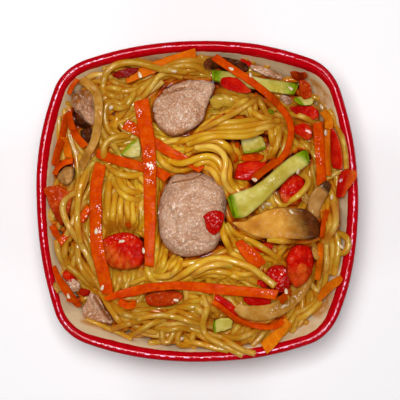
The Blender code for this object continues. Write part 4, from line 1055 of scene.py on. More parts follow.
def lay_all():
    heroes = []
    for path, *_ in HERO:
        p = np.array([place(u, v) for u, v in path])
        heroes.append(smooth_path(p, 0.0008))
    flow = flow_from(heroes)
    rounds = ((-0.0008, 0.55, 160, 1.2 * RAD, 4), (-0.0004, 0.4, 200, 1.0 * RAD, 5), (0.0, 0.25, 170, 0.6 * RAD, 7),
              (0.0006, 0.15, 130, 0.3 * RAD, 9))
    for top_gap, wild, count, need, patience in rounds:
        tries = 0
        made = 0
        while made < count and tries < count * 3:
            tries += 1
            room = soften_fast(PILE.dome + top_gap - HEAP)
            free = np.where(OUT, -1, np.minimum(room, CEILING - HEAP))
            k = RNG.integers(0, NCELL, (260, 2))
            score = free[k[:, 0], k[:, 1]]
            best = k[int(np.argmax(score))]
            if score.max() < 1.6 * RAD:
                continue
            x, y = AXIS[best[0]], AXIS[best[1]]
            ax, angle = flow
            i = int((x + SPAN) / (2 * SPAN) * (len(ax) - 1) + 0.5)
            j = int((y + SPAN) / (2 * SPAN) * (len(ax) - 1) + 0.5)
            heading = angle[i, j] + RNG.normal(0, 0.15 + wild)
            length = RNG.uniform(0.015, 0.06)
            bend = RNG.normal(0, 0.02)
            one = follow(flow, x, y, heading, length, wild, bend, top_gap, need, patience)
            two = follow(flow, x, y, heading + math.pi, length, wild, -bend, top_gap, need, patience)
            path = np.vstack([two[::-1], one[1:]])
            if len(path) < 9:
                continue
            path = np.stack([rolling(path[:, 0], 2, False), rolling(path[:, 1], 2, False)], axis=1)
            r = RAD * RNG.uniform(0.92, 1.08)
            lay_noodle(path, r, "low", ends=(1, 1), press=0.0005)
            made += 1
    early_bits()
    for (path, width, over, copies, *cut_ends), line in zip(HERO, heroes):
        cut_ends = cut_ends[0] if cut_ends else ""
        t = np.gradient(line, axis=0)
        t /= np.linalg.norm(t, axis=1)[:, None]
        nor = np.stack([-t[:, 1], t[:, 0]], axis=1)
        r = width * UNIT / 2
        for off in copies:
            a = 0.0009 * np.sin(np.linspace(0, 3.5, len(line)) + RNG.uniform(0, 6))
            side = line + nor * (off * UNIT + a)[:, None]
            cut = int(len(side) * RNG.uniform(0.0, 0.1))
            side = side[cut:len(side) - int(len(side) * RNG.uniform(0.0, 0.12))]
            lay_noodle(side, r * RNG.uniform(0.92, 1.0), "mid", over, press=0.0005, sink=0.0006)
        lay_noodle(line, r, "top", over, press=0.0004, sink=0.0002, ends=(0, 0),
                   dip=(0.0 if "a" in cut_ends else 0.0036, 0.0 if "b" in cut_ends else 0.0036))
        if "c" in cut_ends:
            CLEAR.add(len(LAID) - 1)
    late_bits()


def soften_fast(f):
    out = f
    for axis in (0, 1):
        out = (out + np.roll(out, 2, axis) + np.roll(out, -2, axis)) / 3
    return out


def tube(pts, r, sides, step, ends, seed):
    """A noodle: rounded or cut ends, slightly uneven and not quite round."""
    s = np.concatenate([[0], np.cumsum(np.linalg.norm(np.diff(pts, axis=0), axis=1))])
    n = max(4, int(round(s[-1] / step)) + 1)
    want = np.linspace(0, s[-1], n)
    p = np.stack([np.interp(want, s, pts[:, k]) for k in range(3)], axis=1)
    p[1:-1] = 0.25 * p[:-2] + 0.5 * p[1:-1] + 0.25 * p[2:]
    t = np.gradient(p, axis=0)
    t /= np.maximum(np.linalg.norm(t, axis=1), 1e-12)[:, None]
    side = np.stack([-t[:, 1], t[:, 0], np.zeros(n)], axis=1)
    side /= np.maximum(np.linalg.norm(side, axis=1), 1e-12)[:, None]
    up = np.cross(t, side)
    swell = 1 + 0.045 * grain(np.column_stack([want, np.full(n, seed * 0.37), np.zeros(n)]), 210, 5, 2)
    rows = [(k, swell[k], 0.0) for k in range(n)]
    if ends[0]:
        rows = [(0, 0.45, -0.72), (0, 0.8, -0.5)] + rows
    else:
        rows = [(0, 0.86, -0.16)] + rows
    if ends[1]:
        rows += [(n - 1, 0.8, 0.5), (n - 1, 0.45, 0.72)]
    else:
        rows += [(n - 1, 0.86, 0.16)]
    ang = 2 * math.pi * np.arange(sides) / sides
    ca, sa = np.cos(ang)[:, None], np.sin(ang)[:, None]
    rings = []
    for k, sc, off in rows:
        rings.append(p[k] + t[k] * off * r + r * sc * (1.05 * ca * side[k] + 0.95 * sa * up[k]))
    low = p[0] + t[0] * (-0.82 if ends[0] else -0.2) * r
    high = p[-1] + t[-1] * (0.82 if ends[1] else 0.2) * r
    m = sides
    verts = np.vstack(rings + [low[None], high[None]])
    count = len(rows)
    a = np.arange(m)
    b = (a + 1) % m
    base = (np.arange(count - 1) * m)[:, None]
    quad1 = np.stack([base + a, base + b, base + b + m], axis=-1).reshape(-1, 3)
    quad2 = np.stack([base + a, base + b + m, base + a + m], axis=-1).reshape(-1, 3)
    lo = np.stack([b, a, np.full(m, count * m)], axis=1)
    hi = np.stack([(count - 1) * m + a, (count - 1) * m + b, np.full(m, count * m + 1)], axis=1)
    return verts, np.vstack([quad1, quad2, lo, hi])


# ------------------------------------------------------------ outlines seen from above
# Corners of a piece's outline in layout units; the full-detail piece is drawn out to them.
OUTLINE = {
    "turkey_centre": [(172, 177), (179, 174.5), (188, 174), (200, 172.5), (206, 174.5), (211, 177), (217.5, 181),
                      (223, 186.5), (225.5, 194), (226, 204), (226, 214), (224, 226), (221.5, 236), (218.5, 243),
                      (213.7, 249.4), (206.5, 253), (198.8, 256), (190, 257.5), (181.3, 256.5), (172.5, 253.3),
                      (167, 248), (162.6, 240.6), (160, 231.8), (158.2, 218.6), (158.8, 209.8), (160.4, 198.8),
                      (164.5, 188), (168, 181.5)],
    "turkey_upper": [(171, 86), (178, 82.5), (190, 79.8), (200, 79.6), (212, 82.5), (213.6, 89), (210.5, 99),
                     (208, 107), (205.5, 114), (203.5, 120), (199, 124.5), (192, 129.5), (183.5, 134.5), (174, 137),
                     (166, 135), (159, 128), (154.5, 118), (152.8, 107), (154.5, 100), (159, 96), (165.5, 90)],
    "turkey_left": [(72, 95), (76, 91), (84, 90), (91, 92), (94, 98), (95, 105), (96, 114), (94, 126), (88, 122.5),
                    (82, 117.5), (77, 112), (73, 107), (71, 101)],
    "turkey_slice": [(91, 291.5), (95, 294.5), (98.5, 298), (102.5, 303.5), (106.5, 310), (111, 316.5), (114, 322),
                     (110, 324), (101, 322.5), (92, 320.5), (85.5, 319), (83, 313.5), (83.2, 306.5), (85.6, 301),
                     (88, 295.5)],
    "tomato_left": [(102.5, 240), (108, 236.5), (115.3, 233.5), (123, 232.2), (132, 233), (138, 236.5), (143, 242),
                    (145, 250), (144.5, 259), (141, 265.5), (134, 268.5), (126, 269.8), (117, 269), (110, 266.5),
                    (106, 260), (103, 251.6)],
    "tomato_mid": [(279, 190), (281, 182), (285, 175.5), (291, 172.8), (298, 174.5), (303, 179), (306, 186),
                   (305.5, 194), (302, 200), (296, 205), (289, 206), (283, 203), (279.5, 197)],
    "tomato_low": [(286.5, 262), (288, 253), (292, 247), (298, 244.5), (306, 244.5), (311, 248), (313.5, 255),
                   (314, 263), (312, 272), (308, 280), (302, 286), (295, 288.5), (290, 282), (287, 272)],
    "tomato_crimson": [(266.5, 272), (270, 267), (276, 264.5), (283, 265), (288, 269), (291, 276), (291.5, 284),
                       (289, 290), (283, 293.5), (276, 292.5), (270, 288), (266.5, 281)],
    "tomato_bottom": [(145, 297), (150, 293), (160, 291), (172, 291), (181, 292.5), (183, 297), (179, 302),
                      (170, 305.5), (158, 307), (149, 306), (145.5, 302)],
    "tomato_wedge": [(43.5, 189), (50, 186), (60, 186), (68, 191), (72.5, 199), (71, 209), (67, 221), (62, 226.5),
                     (57, 221), (51.5, 210), (46.5, 199)],
    "tomato_skin": [(204.5, 217), (206.5, 213.5), (211, 211), (216.5, 210), (221, 211), (224.5, 214.5), (224, 220),
                    (221.5, 226.5), (218.5, 232), (214.5, 235), (210.5, 233.5), (206.5, 228.5), (205.2, 223)],
    "tomato_curl": [(290, 72), (294, 70.5), (300, 72.5), (305, 72), (308, 76), (304, 80.5), (297, 81), (292, 78)],
    "tomato_leaf": [(299, 81), (304, 80), (309, 83), (312, 90), (311, 98), (304, 100), (299.5, 95), (298.5, 88)],
    "mushroom_slice": [(230.5, 223), (239.5, 219.3), (250, 217), (257, 214.5), (265, 210.3), (273.6, 208),
                       (282.4, 207.2), (291.2, 207.2), (300, 207.8), (306.6, 208.7), (312, 212), (316.5, 216.4),
                       (319.3, 222), (320.2, 228.5), (319.8, 234), (317, 238.6), (310, 240.4), (300, 240),
                       (289, 239.7), (278, 239.6), (267, 239.2), (256, 237), (247, 233.6), (238.4, 229)],
    "mushroom_dark_top": [(203, 64), (206, 58), (214, 57), (225, 57), (238, 60), (246, 64), (249, 70), (243, 72.5),
                          (232, 69), (222, 68), (212, 70), (206, 70)],
    "mushroom_dark_left": [(80, 131), (84, 127), (92, 128), (96, 135), (94, 145), (87, 146), (82, 140)],
    "pepper_dark": [(112, 75), (118, 70.5), (128, 68), (139, 67.5), (137, 72.5), (128, 76.5), (118, 79)],
    "pepper_upper": [(288, 107), (300, 106), (313, 106), (318, 110), (319.5, 117), (313, 120.5), (304, 118.5),
                     (295, 113.5)],
    "tomato_upper": [(291.5, 128.5), (296, 125), (303, 123), (309, 125), (312.5, 131), (312, 138), (307, 140.5),
                     (301, 136.5), (295, 133)],
    "onion_pale": [(209.5, 100), (214, 95.5), (224, 93.5), (234, 94.5), (240, 99), (238, 105), (231, 107.5), (224, 106.5),
                   (218, 109.5), (212, 108)],
    "tomato_flat": [(234.5, 178.5), (235.5, 171), (238, 163.5), (247, 161.5), (258, 161.5), (266, 163), (271.5, 166),
                    (266, 170.5), (258, 176), (250, 180.5), (242, 180)],
    "zucchini_mid": [(241, 136), (251, 134), (262, 137), (264.5, 142), (266.5, 148), (258, 151.8), (249, 154),
                     (243.5, 154), (241.5, 146)],
    "zucchini_left": [(119.5, 155), (126, 147.5), (133, 140), (139, 138.5), (141, 147), (140.5, 157.5), (130, 158)],
    "zucchini_bottom": [(213.5, 320), (221, 318), (229, 317.5), (233, 321), (231.5, 328), (224, 331), (214.5, 333),
                        (213, 327)],
    "pepper_top": [(220, 80.5), (223, 77), (230, 76.5), (237, 78), (244, 83), (252, 91), (248, 93.5), (238, 92.5),
                   (228, 90), (222, 86)],
}
# Centre line and width: (u, v, width)
RUN = {
    "onion_right": [(236, 307, 9), (245, 311.5, 13), (256, 313, 15.5), (270, 311.5, 16.5), (283, 306, 15.5),
                    (295, 297, 13.5), (304.5, 287.5, 10), (311, 279, 5)],
    "turkey_strip": [(251, 68, 4.5), (260, 70, 6.5), (268, 72.8, 7), (276, 76, 6), (281.5, 78.5, 3.5)],
    "zucchini_stick": [(229.5, 206.5, 21.5), (239, 205, 25), (250.5, 198.8, 21.5), (259.5, 193.2, 18.6),
                       (271.4, 183, 15.6), (281, 174.3, 15.2), (291, 166.3, 15.6), (299, 161.3, 16), (307.5, 156.5, 14)],
    "zucchini_top": [(212, 75.5, 11), (226, 78, 12), (245, 81.5, 13), (262, 84.8, 13), (280, 87.6, 13), (296, 90, 12)],
    "mushroom_slab": [(328.5, 182.5, 7.5), (324.5, 188.5, 12), (318.5, 196, 15), (314.5, 204.5, 14.5), (314.5, 212, 10.5),
                      (317.5, 219, 5)],
    "carrot_u": [(238, 241, 8), (244.5, 249, 12), (252.5, 257, 14.5), (261, 266, 13)],
    "carrot_e": [(105, 299, 4.5), (118, 294.8, 7.5), (134, 291, 10), (145, 288.3, 9.5), (156, 286.7, 8.8),
                 (170, 285.4, 8.4), (185, 285.8, 8.8), (200, 287, 9.8), (212, 288.5, 11), (234, 290.4, 10.6),
                 (256, 292.3, 10), (277, 294.8, 10.5)],
    "carrot_a": [(101, 164, 12), (96.5, 185, 12.5), (95.8, 205, 12.5), (96, 225, 12.5), (97, 243, 13), (99.5, 258, 13),
                 (103, 272, 13), (106, 284, 13), (107.5, 294, 12.5)],
    "carrot_i": [(196, 54, 10), (175, 60.5, 11.5), (152, 68.5, 11.5), (126, 80.5, 8.5)],
    "carrot_b": [(141.5, 100, 15.5), (146, 130, 14.6), (148.8, 150, 14.2), (149.8, 170, 13), (150, 200, 12),
                 (150, 230, 11), (149.5, 262, 9.5), (149.5, 266.5, 9)],
    "carrot_wall": [(54, 266, 3.5), (58.5, 277, 5.5), (64.5, 287, 7), (71.5, 296.5, 7), (79.5, 306.5, 5)],
    "carrot_x": [(341.5, 277, 5), (336, 281.5, 7.5), (330, 286, 8), (324, 292, 7.5), (318, 300, 5)],
    "carrot_m": [(67, 114, 5), (64.5, 126, 6), (61.5, 140, 6.5), (57.5, 153, 7), (55, 166, 7)],
    "pepper_bottom": [(214.5, 297, 7.5), (222, 302, 9), (231, 309, 9), (238, 315.5, 5.5)],
    "pepper_right": [(331.5, 129, 2.5), (333.5, 137, 6.5), (335.5, 148, 9.5), (336.5, 159, 10.5), (337, 169, 9)],
}


def from_units(u, v, z):
    k = 1 - (z - RIM_Z) / EYE
    return (u - CU) * UNIT * k, (CV - v) * UNIT * k


def rays(points, angles):
    """Distance from the origin to a closed outline along each heading."""
    p = np.asarray(points, float)
    q = np.roll(p, -1, axis=0)
    far = np.zeros(len(angles))
    for k, a in enumerate(angles):
        dx, dy = math.cos(a), math.sin(a)
        ex, ey = q[:, 0] - p[:, 0], q[:, 1] - p[:, 1]
        det = dx * ey - dy * ex
        det = np.where(np.abs(det) < 1e-12, 1e-12, det)
        t = (p[:, 0] * ey - p[:, 1] * ex) / det
        w = (p[:, 0] * dy - p[:, 1] * dx) / det
        ok = (t > 0) & (w >= -1e-9) & (w <= 1 + 1e-9)
        far[k] = t[ok].max() if ok.any() else np.nan
    return far


def drawn_to(verts, outline, soft=2):
    """The piece stretched in plan, heading by heading, until it fills the outline."""
    u, v = to_units(verts)
    target = np.array(outline, float)
    c1 = np.array([(target[:, 0].min() + target[:, 0].max()) / 2, (target[:, 1].min() + target[:, 1].max()) / 2])
    c0 = np.array([(u.min() + u.max()) / 2, (v.min() + v.max()) / 2])
    angles = np.linspace(-math.pi, math.pi, 145)[:-1]
    want = rays(target - c1, angles)
    du, dv = u - c0[0], v - c0[1]
    ang, rad = np.arctan2(dv, du), np.hypot(du, dv)
    have = np.zeros(144)
    slot = np.floor((ang + math.pi) / (2 * math.pi) * 144 + 0.5).astype(int) % 144
    np.maximum.at(have, slot, rad)
    for _ in range(3):
        have = np.maximum(have, 0.5 * (np.roll(have, 1) + np.roll(have, -1)))
    for _ in range(soft):
        want = (np.roll(want, 1) + 2 * want + np.roll(want, -1)) / 4
        have = (np.roll(have, 1) + 2 * have + np.roll(have, -1)) / 4
    ratio = np.interp(ang, angles, want / have, period=2 * math.pi)
    x, y = from_units(c1[0] + du * ratio, c1[1] + dv * ratio, verts[:, 2])
    return np.column_stack([x, y, verts[:, 2]])


def run_to(item, knots):
    """The strip with a new centre line and widths; heights are read off the old line."""
    old = item["line"].copy()
    old[:, 2] += item["rise"]
    ou, ov = to_units(old)
    s_old = np.concatenate([[0], np.cumsum(np.hypot(np.diff(ou), np.diff(ov)))])
    line, tilt, half = [], [], []
    for u, v, width in knots:
        best, share = 1e9, 0.0
        for i in range(len(ou) - 1):
            lx, ly = ou[i + 1] - ou[i], ov[i + 1] - ov[i]
            t = min(1.0, max(0.0, ((u - ou[i]) * lx + (v - ov[i]) * ly) / (lx * lx + ly * ly)))
            d = math.hypot(u - ou[i] - lx * t, v - ov[i] - ly * t)
            if d < best:
                best, share = d, s_old[i] + t * (s_old[i + 1] - s_old[i])
        z = float(np.interp(share, s_old, old[:, 2]))
        x, y = from_units(u, v, z)
        line.append((x, y, z - item["rise"]))
        tilt.append(float(np.interp(share, s_old, item["tilt"])))
        half.append(width / 2 * UNIT)
    new = dict(item)
    new["line"], new["tilt"], new["half"] = np.array(line), np.array(tilt), np.array(half)
    return new


def fibres(verts, tris, centre, turns, per_unit, mm, seed):
    """Ridges of meat that run round a centre: rises in mm and how high each point stands (0 to 1)."""
    u, v = to_units(verts)
    r, a = np.hypot(u - centre[0], v - centre[1]), np.arctan2(v - centre[1], u - centre[0])
    spot = np.column_stack([u, v, np.zeros(len(u))])
    warp = 3.0 * grain(spot, 0.06, seed, 2) + 0.9 * grain(spot, 0.3, seed + 2, 1)
    q = np.column_stack([(r + warp) * per_unit, np.cos(a) * turns, np.sin(a) * turns])
    f = grain(q, 1.0, seed + 5, 3)
    patchy = 0.35 + 0.65 * np.clip(0.5 + 0.9 * grain(spot, 0.09, seed + 9, 2), 0, 1)
    ridge = (1 - np.clip(np.abs(f) * 2.2, 0, 1)) * patchy
    n = facing(verts, tris)
    return verts + n * (ridge * mm / 1000)[:, None], ridge


def crease(verts, lines):
    """Folds pressed into the top: (depth mm, half width in units, points)."""
    out = verts.copy()
    u, v = to_units(verts)
    top = verts[:, 2] > (verts[:, 2].min() + verts[:, 2].max()) / 2 - 0.001
    for depth, half, pts in lines:
        d = to_line(u, v, pts)
        out[:, 2] -= np.where(top, depth / 1000 * np.exp(-(d / half) ** 2), 0)
        side = np.exp(-((d - 1.8 * half) / half) ** 2)
        out[:, 2] += np.where(top, 0.35 * depth / 1000 * side, 0)
    return out


# ------------------------------------------------------------ small pieces that only show here
def bit_strip(name, kind, pts, width, thick, **how):
    """A small strip laid on whatever is there now."""
    held = PILE.rest, PILE.top
    now = np.maximum(HEAP, TOPS)
    PILE.rest = PILE.top = now
    strip(name, kind, pts, width, thick, **how)
    item = PILE.items.pop()
    PILE.rest, PILE.top = held
    top, _ = shadow(item["verts"], item["tris"])
    np.maximum(HEAP, top, out=HEAP)
    BITS.append(item)
    return item


def bit_lump(name, kind, u, v, length, width, turn, up, down, **how):
    held = PILE.rest, PILE.top
    now = np.maximum(HEAP, TOPS)
    PILE.rest = now
    PILE.top = np.full((NCELL, NCELL), -1.0)
    lump(name, kind, u, v, length, width, turn, up, down, **how)
    item = PILE.items.pop()
    PILE.rest, PILE.top = held
    top, _ = shadow(item["verts"], item["tris"])
    np.maximum(HEAP, top, out=HEAP)
    BITS.append(item)
    return item


BITS = []
TOPS = np.full((NCELL, NCELL), -1.0)
for _item in PILE.items:
    TOPS = np.maximum(TOPS, item_maps(_item["name"])[0])


def early_bits():
    """Slivers that lie among the noodles, under the long ones."""
    bit_strip("o", "carrot", [(56, 175), (62, 165), (74, 161)], 6, 1.5, sink=0.2)
    bit_strip("p", "carrot", [(54, 225), (60, 239)], 6.5, 1.6, sink=0.4)
    bit_strip("q", "carrot", [(69, 232), (61, 243)], 7.5, 1.6, sink=0.2)
    bit_strip("r", "carrot", [(90, 207), (81, 221)], 7.5, 1.6, sink=0.2)
    bit_strip("y", "carrot", [(79.5, 81), (74, 88), (70.5, 96)], 5, 1.5, sink=0.5)
    bit_strip("z", "carrot", [(279, 300), (290, 291.5)], 8, 1.6, sink=1.2)
    bit_strip("f3", "carrot", [(276, 161), (268, 167), (259, 174), (252, 180)], 7, 1.6, sink=0.6)
    bit_strip("v", "carrot", [(327, 210), (322, 222), (320, 237)], 5, 1.5, sink=0.3)
    bit_strip("s", "carrot", [(120, 300), (131, 306), (136, 303)], 7, 1.4, sink=0.8)
    bit_lump("t", "tomato", 69, 276, 17, 9, 35, 2.0, 1.6, seed=3, rough=0.06)
    bit_lump("m1", "carrot", 236, 153, 6, 20, 8, 1.6, 1.6, seed=4, rough=0.05)
    bit_lump("m2", "carrot", 252, 157, 24, 9, 3, 1.8, 1.6, seed=6, rough=0.06)
    bit_lump("w", "carrot", 130, 222, 9, 12, 20, 1.8, 1.6, seed=8, rough=0.08)
    bit_lump("n", "pepper", 262, 283, 12, 8, 30, 1.8, 1.4, seed=9, rough=0.08)
    bit_lump("g", "zucchini", 271, 111.5, 8, 5, 35, 1.2, 1.0, seed=12, rough=0.08)
    bit_lump("f", "onion", 306, 199, 13, 9, 50, 1.8, 1.5, seed=14, rough=0.05)
    bit_lump("h", "turkey", 286, 100, 13, 8, 20, 2.2, 1.6, seed=16, rough=0.09)
    bit_lump("x", "onion", 61, 285, 12, 8, 60, 1.6, 1.4, seed=18, rough=0.08)
    bit_strip("l2", "carrot", [(70.5, 113), (71.5, 121), (74.5, 131)], 7, 1.5, sink=0.3)
    bit_lump("k1", "mushroom_cap", 84, 125.5, 22, 8, 42, 1.4, 1.2, seed=23, rough=0.08)
    bit_lump("b1", "onion", 321.5, 107.5, 13, 9, 75, 1.3, 1.1, seed=24, rough=0.09)
    bit_strip("h2", "carrot", [(322, 112), (327, 119.5), (327, 130)], 8, 1.4, sink=0.3)
    bit_strip("c2", "carrot", [(70, 295.5), (80, 300.5)], 6, 1.4, sink=0.2)
    bit_lump("c3", "tomato", 84.5, 292.5, 12, 8, 20, 1.6, 1.3, seed=25, rough=0.08)
    bit_lump("r2", "pepper", 330, 266.5, 7, 5, 80, 1.2, 1.0, seed=26, rough=0.08)
    bit_lump("f2", "onion", 314.5, 251, 16, 7, 78, 1.5, 1.3, seed=27, rough=0.09)


def late_bits():
    """Slivers that lie on top."""
    bit_strip("k", "carrot", [(213, 301), (225, 310.5), (237, 319), (250, 324), (264, 326), (275, 325), (282, 319)],
              5.2, 1.4, sink=0.1, pitch=3)
    bit_lump("d", "pepper", 246, 63, 13, 6, 18, 1.2, 0.9, seed=22, rough=0.08)


# seeds lie on top of everything: place in units, heading in degrees
SEEDS = [(230.5, 71, 30), (289, 90, 40), (253.5, 180, 10), (268, 204, 25), (263, 207, 60), (290, 211.5, 50),
         (122.5, 241, 170), (144, 250, 80), (103, 287, 110), (71, 294, 80), (112, 108.5, 140), (321, 107, 60),
         (331, 197, 80), (176, 300, 15), (325, 133, 75), (96.5, 231, 95)]


def seed_mesh():
    """All the seeds: flattened drops, each tilted to what it lies on."""
    around, rows = 12, 9
    ground = np.maximum(HEAP, TOPS)
    smooth = soften(ground, 2, 1)
    rng = np.random.default_rng(5)
    places = list(SEEDS)
    while len(places) < 23:
        u, v = rng.uniform(60, 340), rng.uniform(60, 345)
        x, y = place(u, v)
        if at(ground, x, y) > at(PILE.bowl, x, y) + 0.004 and at(ground, x, y) > 0.05:
            places.append((u, v, rng.uniform(0, 180)))
    allv, allt, shade, off = [], [], [], 0
    for u, v, deg in places:
        x, y = place(u, v)
        e = 0.001
        gx = float(level(smooth, x + e, y) - level(smooth, x - e, y)) / (2 * e)
        gy = float(level(smooth, x, y + e) - level(smooth, x, y - e)) / (2 * e)
        gx, gy = np.clip(gx, -0.8, 0.8), np.clip(gy, -0.8, 0.8)
        size = rng.uniform(0.82, 1.0)
        rings = []
        for k in range(1, rows):
            a = math.pi * k / rows
            w = math.sin(a) ** 0.9 * (1 - 0.28 * math.cos(a))
            ring = [(-math.cos(a) * 1.6, w * 0.88 * math.cos(2 * math.pi * i / around),
                     w * 0.42 * math.sin(2 * math.pi * i / around)) for i in range(around)]
            rings.append(ring)
        verts, tris = loft(rings, (-1.65, 0, 0), (1.65, 0, 0))
        verts = verts * 0.001 * size
        t = math.radians(-deg)
        q = np.column_stack([verts[:, 0] * math.cos(t) - verts[:, 1] * math.sin(t),
                             verts[:, 0] * math.sin(t) + verts[:, 1] * math.cos(t), verts[:, 2]])
        n = np.array([-gx, -gy, 1.0])
        n /= np.linalg.norm(n)
        ax_ = np.cross((0, 0, 1.0), n)
        s_, c_ = np.linalg.norm(ax_), n[2]
        if s_ > 1e-6:
            k_ = ax_ / s_
            q = q * c_ + np.cross(k_, q) * s_ + np.outer(q @ k_, k_) * (1 - c_)
        ground_z = max(float(level(ground, x + dx, y + dy)) for dx in (-0.0004, 0.0, 0.0004) for dy in (-0.0004, 0.0, 0.0004))
        q = q + np.array([x, y, ground_z + 0.00015])
        allv.append(q)
        allt.append(outward(q - q.mean(axis=0), tris) + off)
        shade.append(np.full(len(q), rng.uniform(0, 1)))
        off += len(q)
    return np.vstack(allv), np.vstack(allt), np.concatenate(shade)


# ------------------------------------------------------------ materials
class Paint:
    """A node tree built up in a few words."""

    def __init__(self, name):
        self.mat = bpy.data.materials.new(name)
        self.mat.use_nodes = True
        self.tree = self.mat.node_tree
        self.tree.nodes.clear()
        self.out = self.tree.nodes.new("ShaderNodeOutputMaterial")
        self.bsdf = self.tree.nodes.new("ShaderNodeBsdfPrincipled")
        self.link(self.bsdf.outputs[0], self.out.inputs[0])
        self.coord = self.tree.nodes.new("ShaderNodeTexCoord").outputs["Object"]

    def link(self, a, b):
        self.tree.links.new(a, b)

    def set(self, **values):
        for key, value in values.items():
            self.bsdf.inputs[key.replace("_", " ")].default_value = value
        return self

    def stretched(self, sx, sy, sz, turn=0.0):
        node = self.tree.nodes.new("ShaderNodeMapping")
        node.inputs["Scale"].default_value = (sx, sy, sz)
        node.inputs["Rotation"].default_value = (0, 0, turn)
        self.link(self.coord, node.inputs["Vector"])
        return node.outputs[0]

    def noise(self, scale, detail=3.0, rough=0.55, where=None, distort=0.0):
        node = self.tree.nodes.new("ShaderNodeTexNoise")
        node.inputs["Scale"].default_value = scale
        node.inputs["Detail"].default_value = detail
        node.inputs["Roughness"].default_value = rough
        node.inputs["Distortion"].default_value = distort
        self.link(where or self.coord, node.inputs["Vector"])
        return node.outputs["Fac"]

    def cells(self, scale, where=None, feature="F1"):
        node = self.tree.nodes.new("ShaderNodeTexVoronoi")
        node.feature = feature
        node.inputs["Scale"].default_value = scale
        self.link(where or self.coord, node.inputs["Vector"])
        return node.outputs["Distance"]

    def glint_dots(self, scale, radius, share):
        """Small round spots in some of the cells."""
        node = self.tree.nodes.new("ShaderNodeTexVoronoi")
        node.inputs["Scale"].default_value = scale
        self.link(self.coord, node.inputs["Vector"])
        split = self.tree.nodes.new("ShaderNodeSeparateColor")
        self.link(node.outputs["Color"], split.inputs[0])
        spot = self.span(node.outputs["Distance"], radius * 0.6, radius * 1.3, 1.0, 0.0)
        return self.calc("MULTIPLY", spot, self.calc("LESS_THAN", split.outputs[0], share))

    def attribute(self, name):
        node = self.tree.nodes.new("ShaderNodeAttribute")
        node.attribute_name = name
        return node.outputs["Fac"]

    def across(self):
        """Distance from the upright line through the middle."""
        flat = self.tree.nodes.new("ShaderNodeVectorMath")
        flat.operation = "MULTIPLY"
        flat.inputs[1].default_value = (1, 1, 0)
        self.link(self.coord, flat.inputs[0])
        size = self.tree.nodes.new("ShaderNodeVectorMath")
        size.operation = "LENGTH"
        self.link(flat.outputs[0], size.inputs[0])
        return size.outputs["Value"]

    def ramp(self, fac, *stops):
        node = self.tree.nodes.new("ShaderNodeValToRGB")
        band = node.color_ramp
        while len(band.elements) < len(stops):
            band.elements.new(0.5)
        for el, (pos, colour) in zip(band.elements, stops):
            el.position = pos
            el.color = (*colour, 1) if hasattr(colour, "__len__") else (colour, colour, colour, 1)
        self.link(fac, node.inputs[0])
        return node.outputs["Color"]

    def mix(self, fac, a, b, mode="MIX"):
        node = self.tree.nodes.new("ShaderNodeMix")
        node.data_type = "RGBA"
        node.blend_type = mode
        node.clamp_factor = True
        for value, index in ((fac, 0), (a, 6), (b, 7)):
            if hasattr(value, "links") or hasattr(value, "is_linked"):
                self.link(value, node.inputs[index])
            elif index == 0:
                node.inputs[0].default_value = value
            else:
                node.inputs[index].default_value = (*value, 1)
        return node.outputs[2]

    def calc(self, op, a, b=None, c=None):
        node = self.tree.nodes.new("ShaderNodeMath")
        node.operation = op
        for value, index in ((a, 0), (b, 1), (c, 2)):
            if value is None:
                continue
            if hasattr(value, "is_linked"):
                self.link(value, node.inputs[index])
            else:
                node.inputs[index].default_value = value
        return node.outputs[0]

    def span(self, value, a, b, c=0.0, d=1.0):
        node = self.tree.nodes.new("ShaderNodeMapRange")
        node.inputs["From Min"].default_value = a
        node.inputs["From Max"].default_value = b
        node.inputs["To Min"].default_value = c
        node.inputs["To Max"].default_value = d
        self.link(value, node.inputs["Value"])
        return node.outputs[0]

    def bump(self, height, strength, distance, below=None):
        node = self.tree.nodes.new("ShaderNodeBump")
        node.inputs["Strength"].default_value = strength
        node.inputs["Distance"].default_value = distance
        self.link(height, node.inputs["Height"])
        if below is not None:
            self.link(below, node.inputs["Normal"])
        return node.outputs[0]

    def finish(self, colour, normal=None, rough=None):
        self.link(colour, self.bsdf.inputs["Base Color"])
        if normal is not None:
            self.link(normal, self.bsdf.inputs["Normal"])
            self.link(normal, self.bsdf.inputs["Coat Normal"])
        if rough is not None:
            self.link(rough, self.bsdf.inputs["Roughness"])
        return self.mat


def hue(r, g, b, k=1.0):
    """A colour given on the 0 to 255 scale, as the shader wants it."""
    out = []
    for c in (r, g, b):
        c = c / 255
        out.append(min(1.0, k * (c / 12.92 if c <= 0.04045 else ((c + 0.055) / 1.055) ** 2.4)))
    return tuple(out)


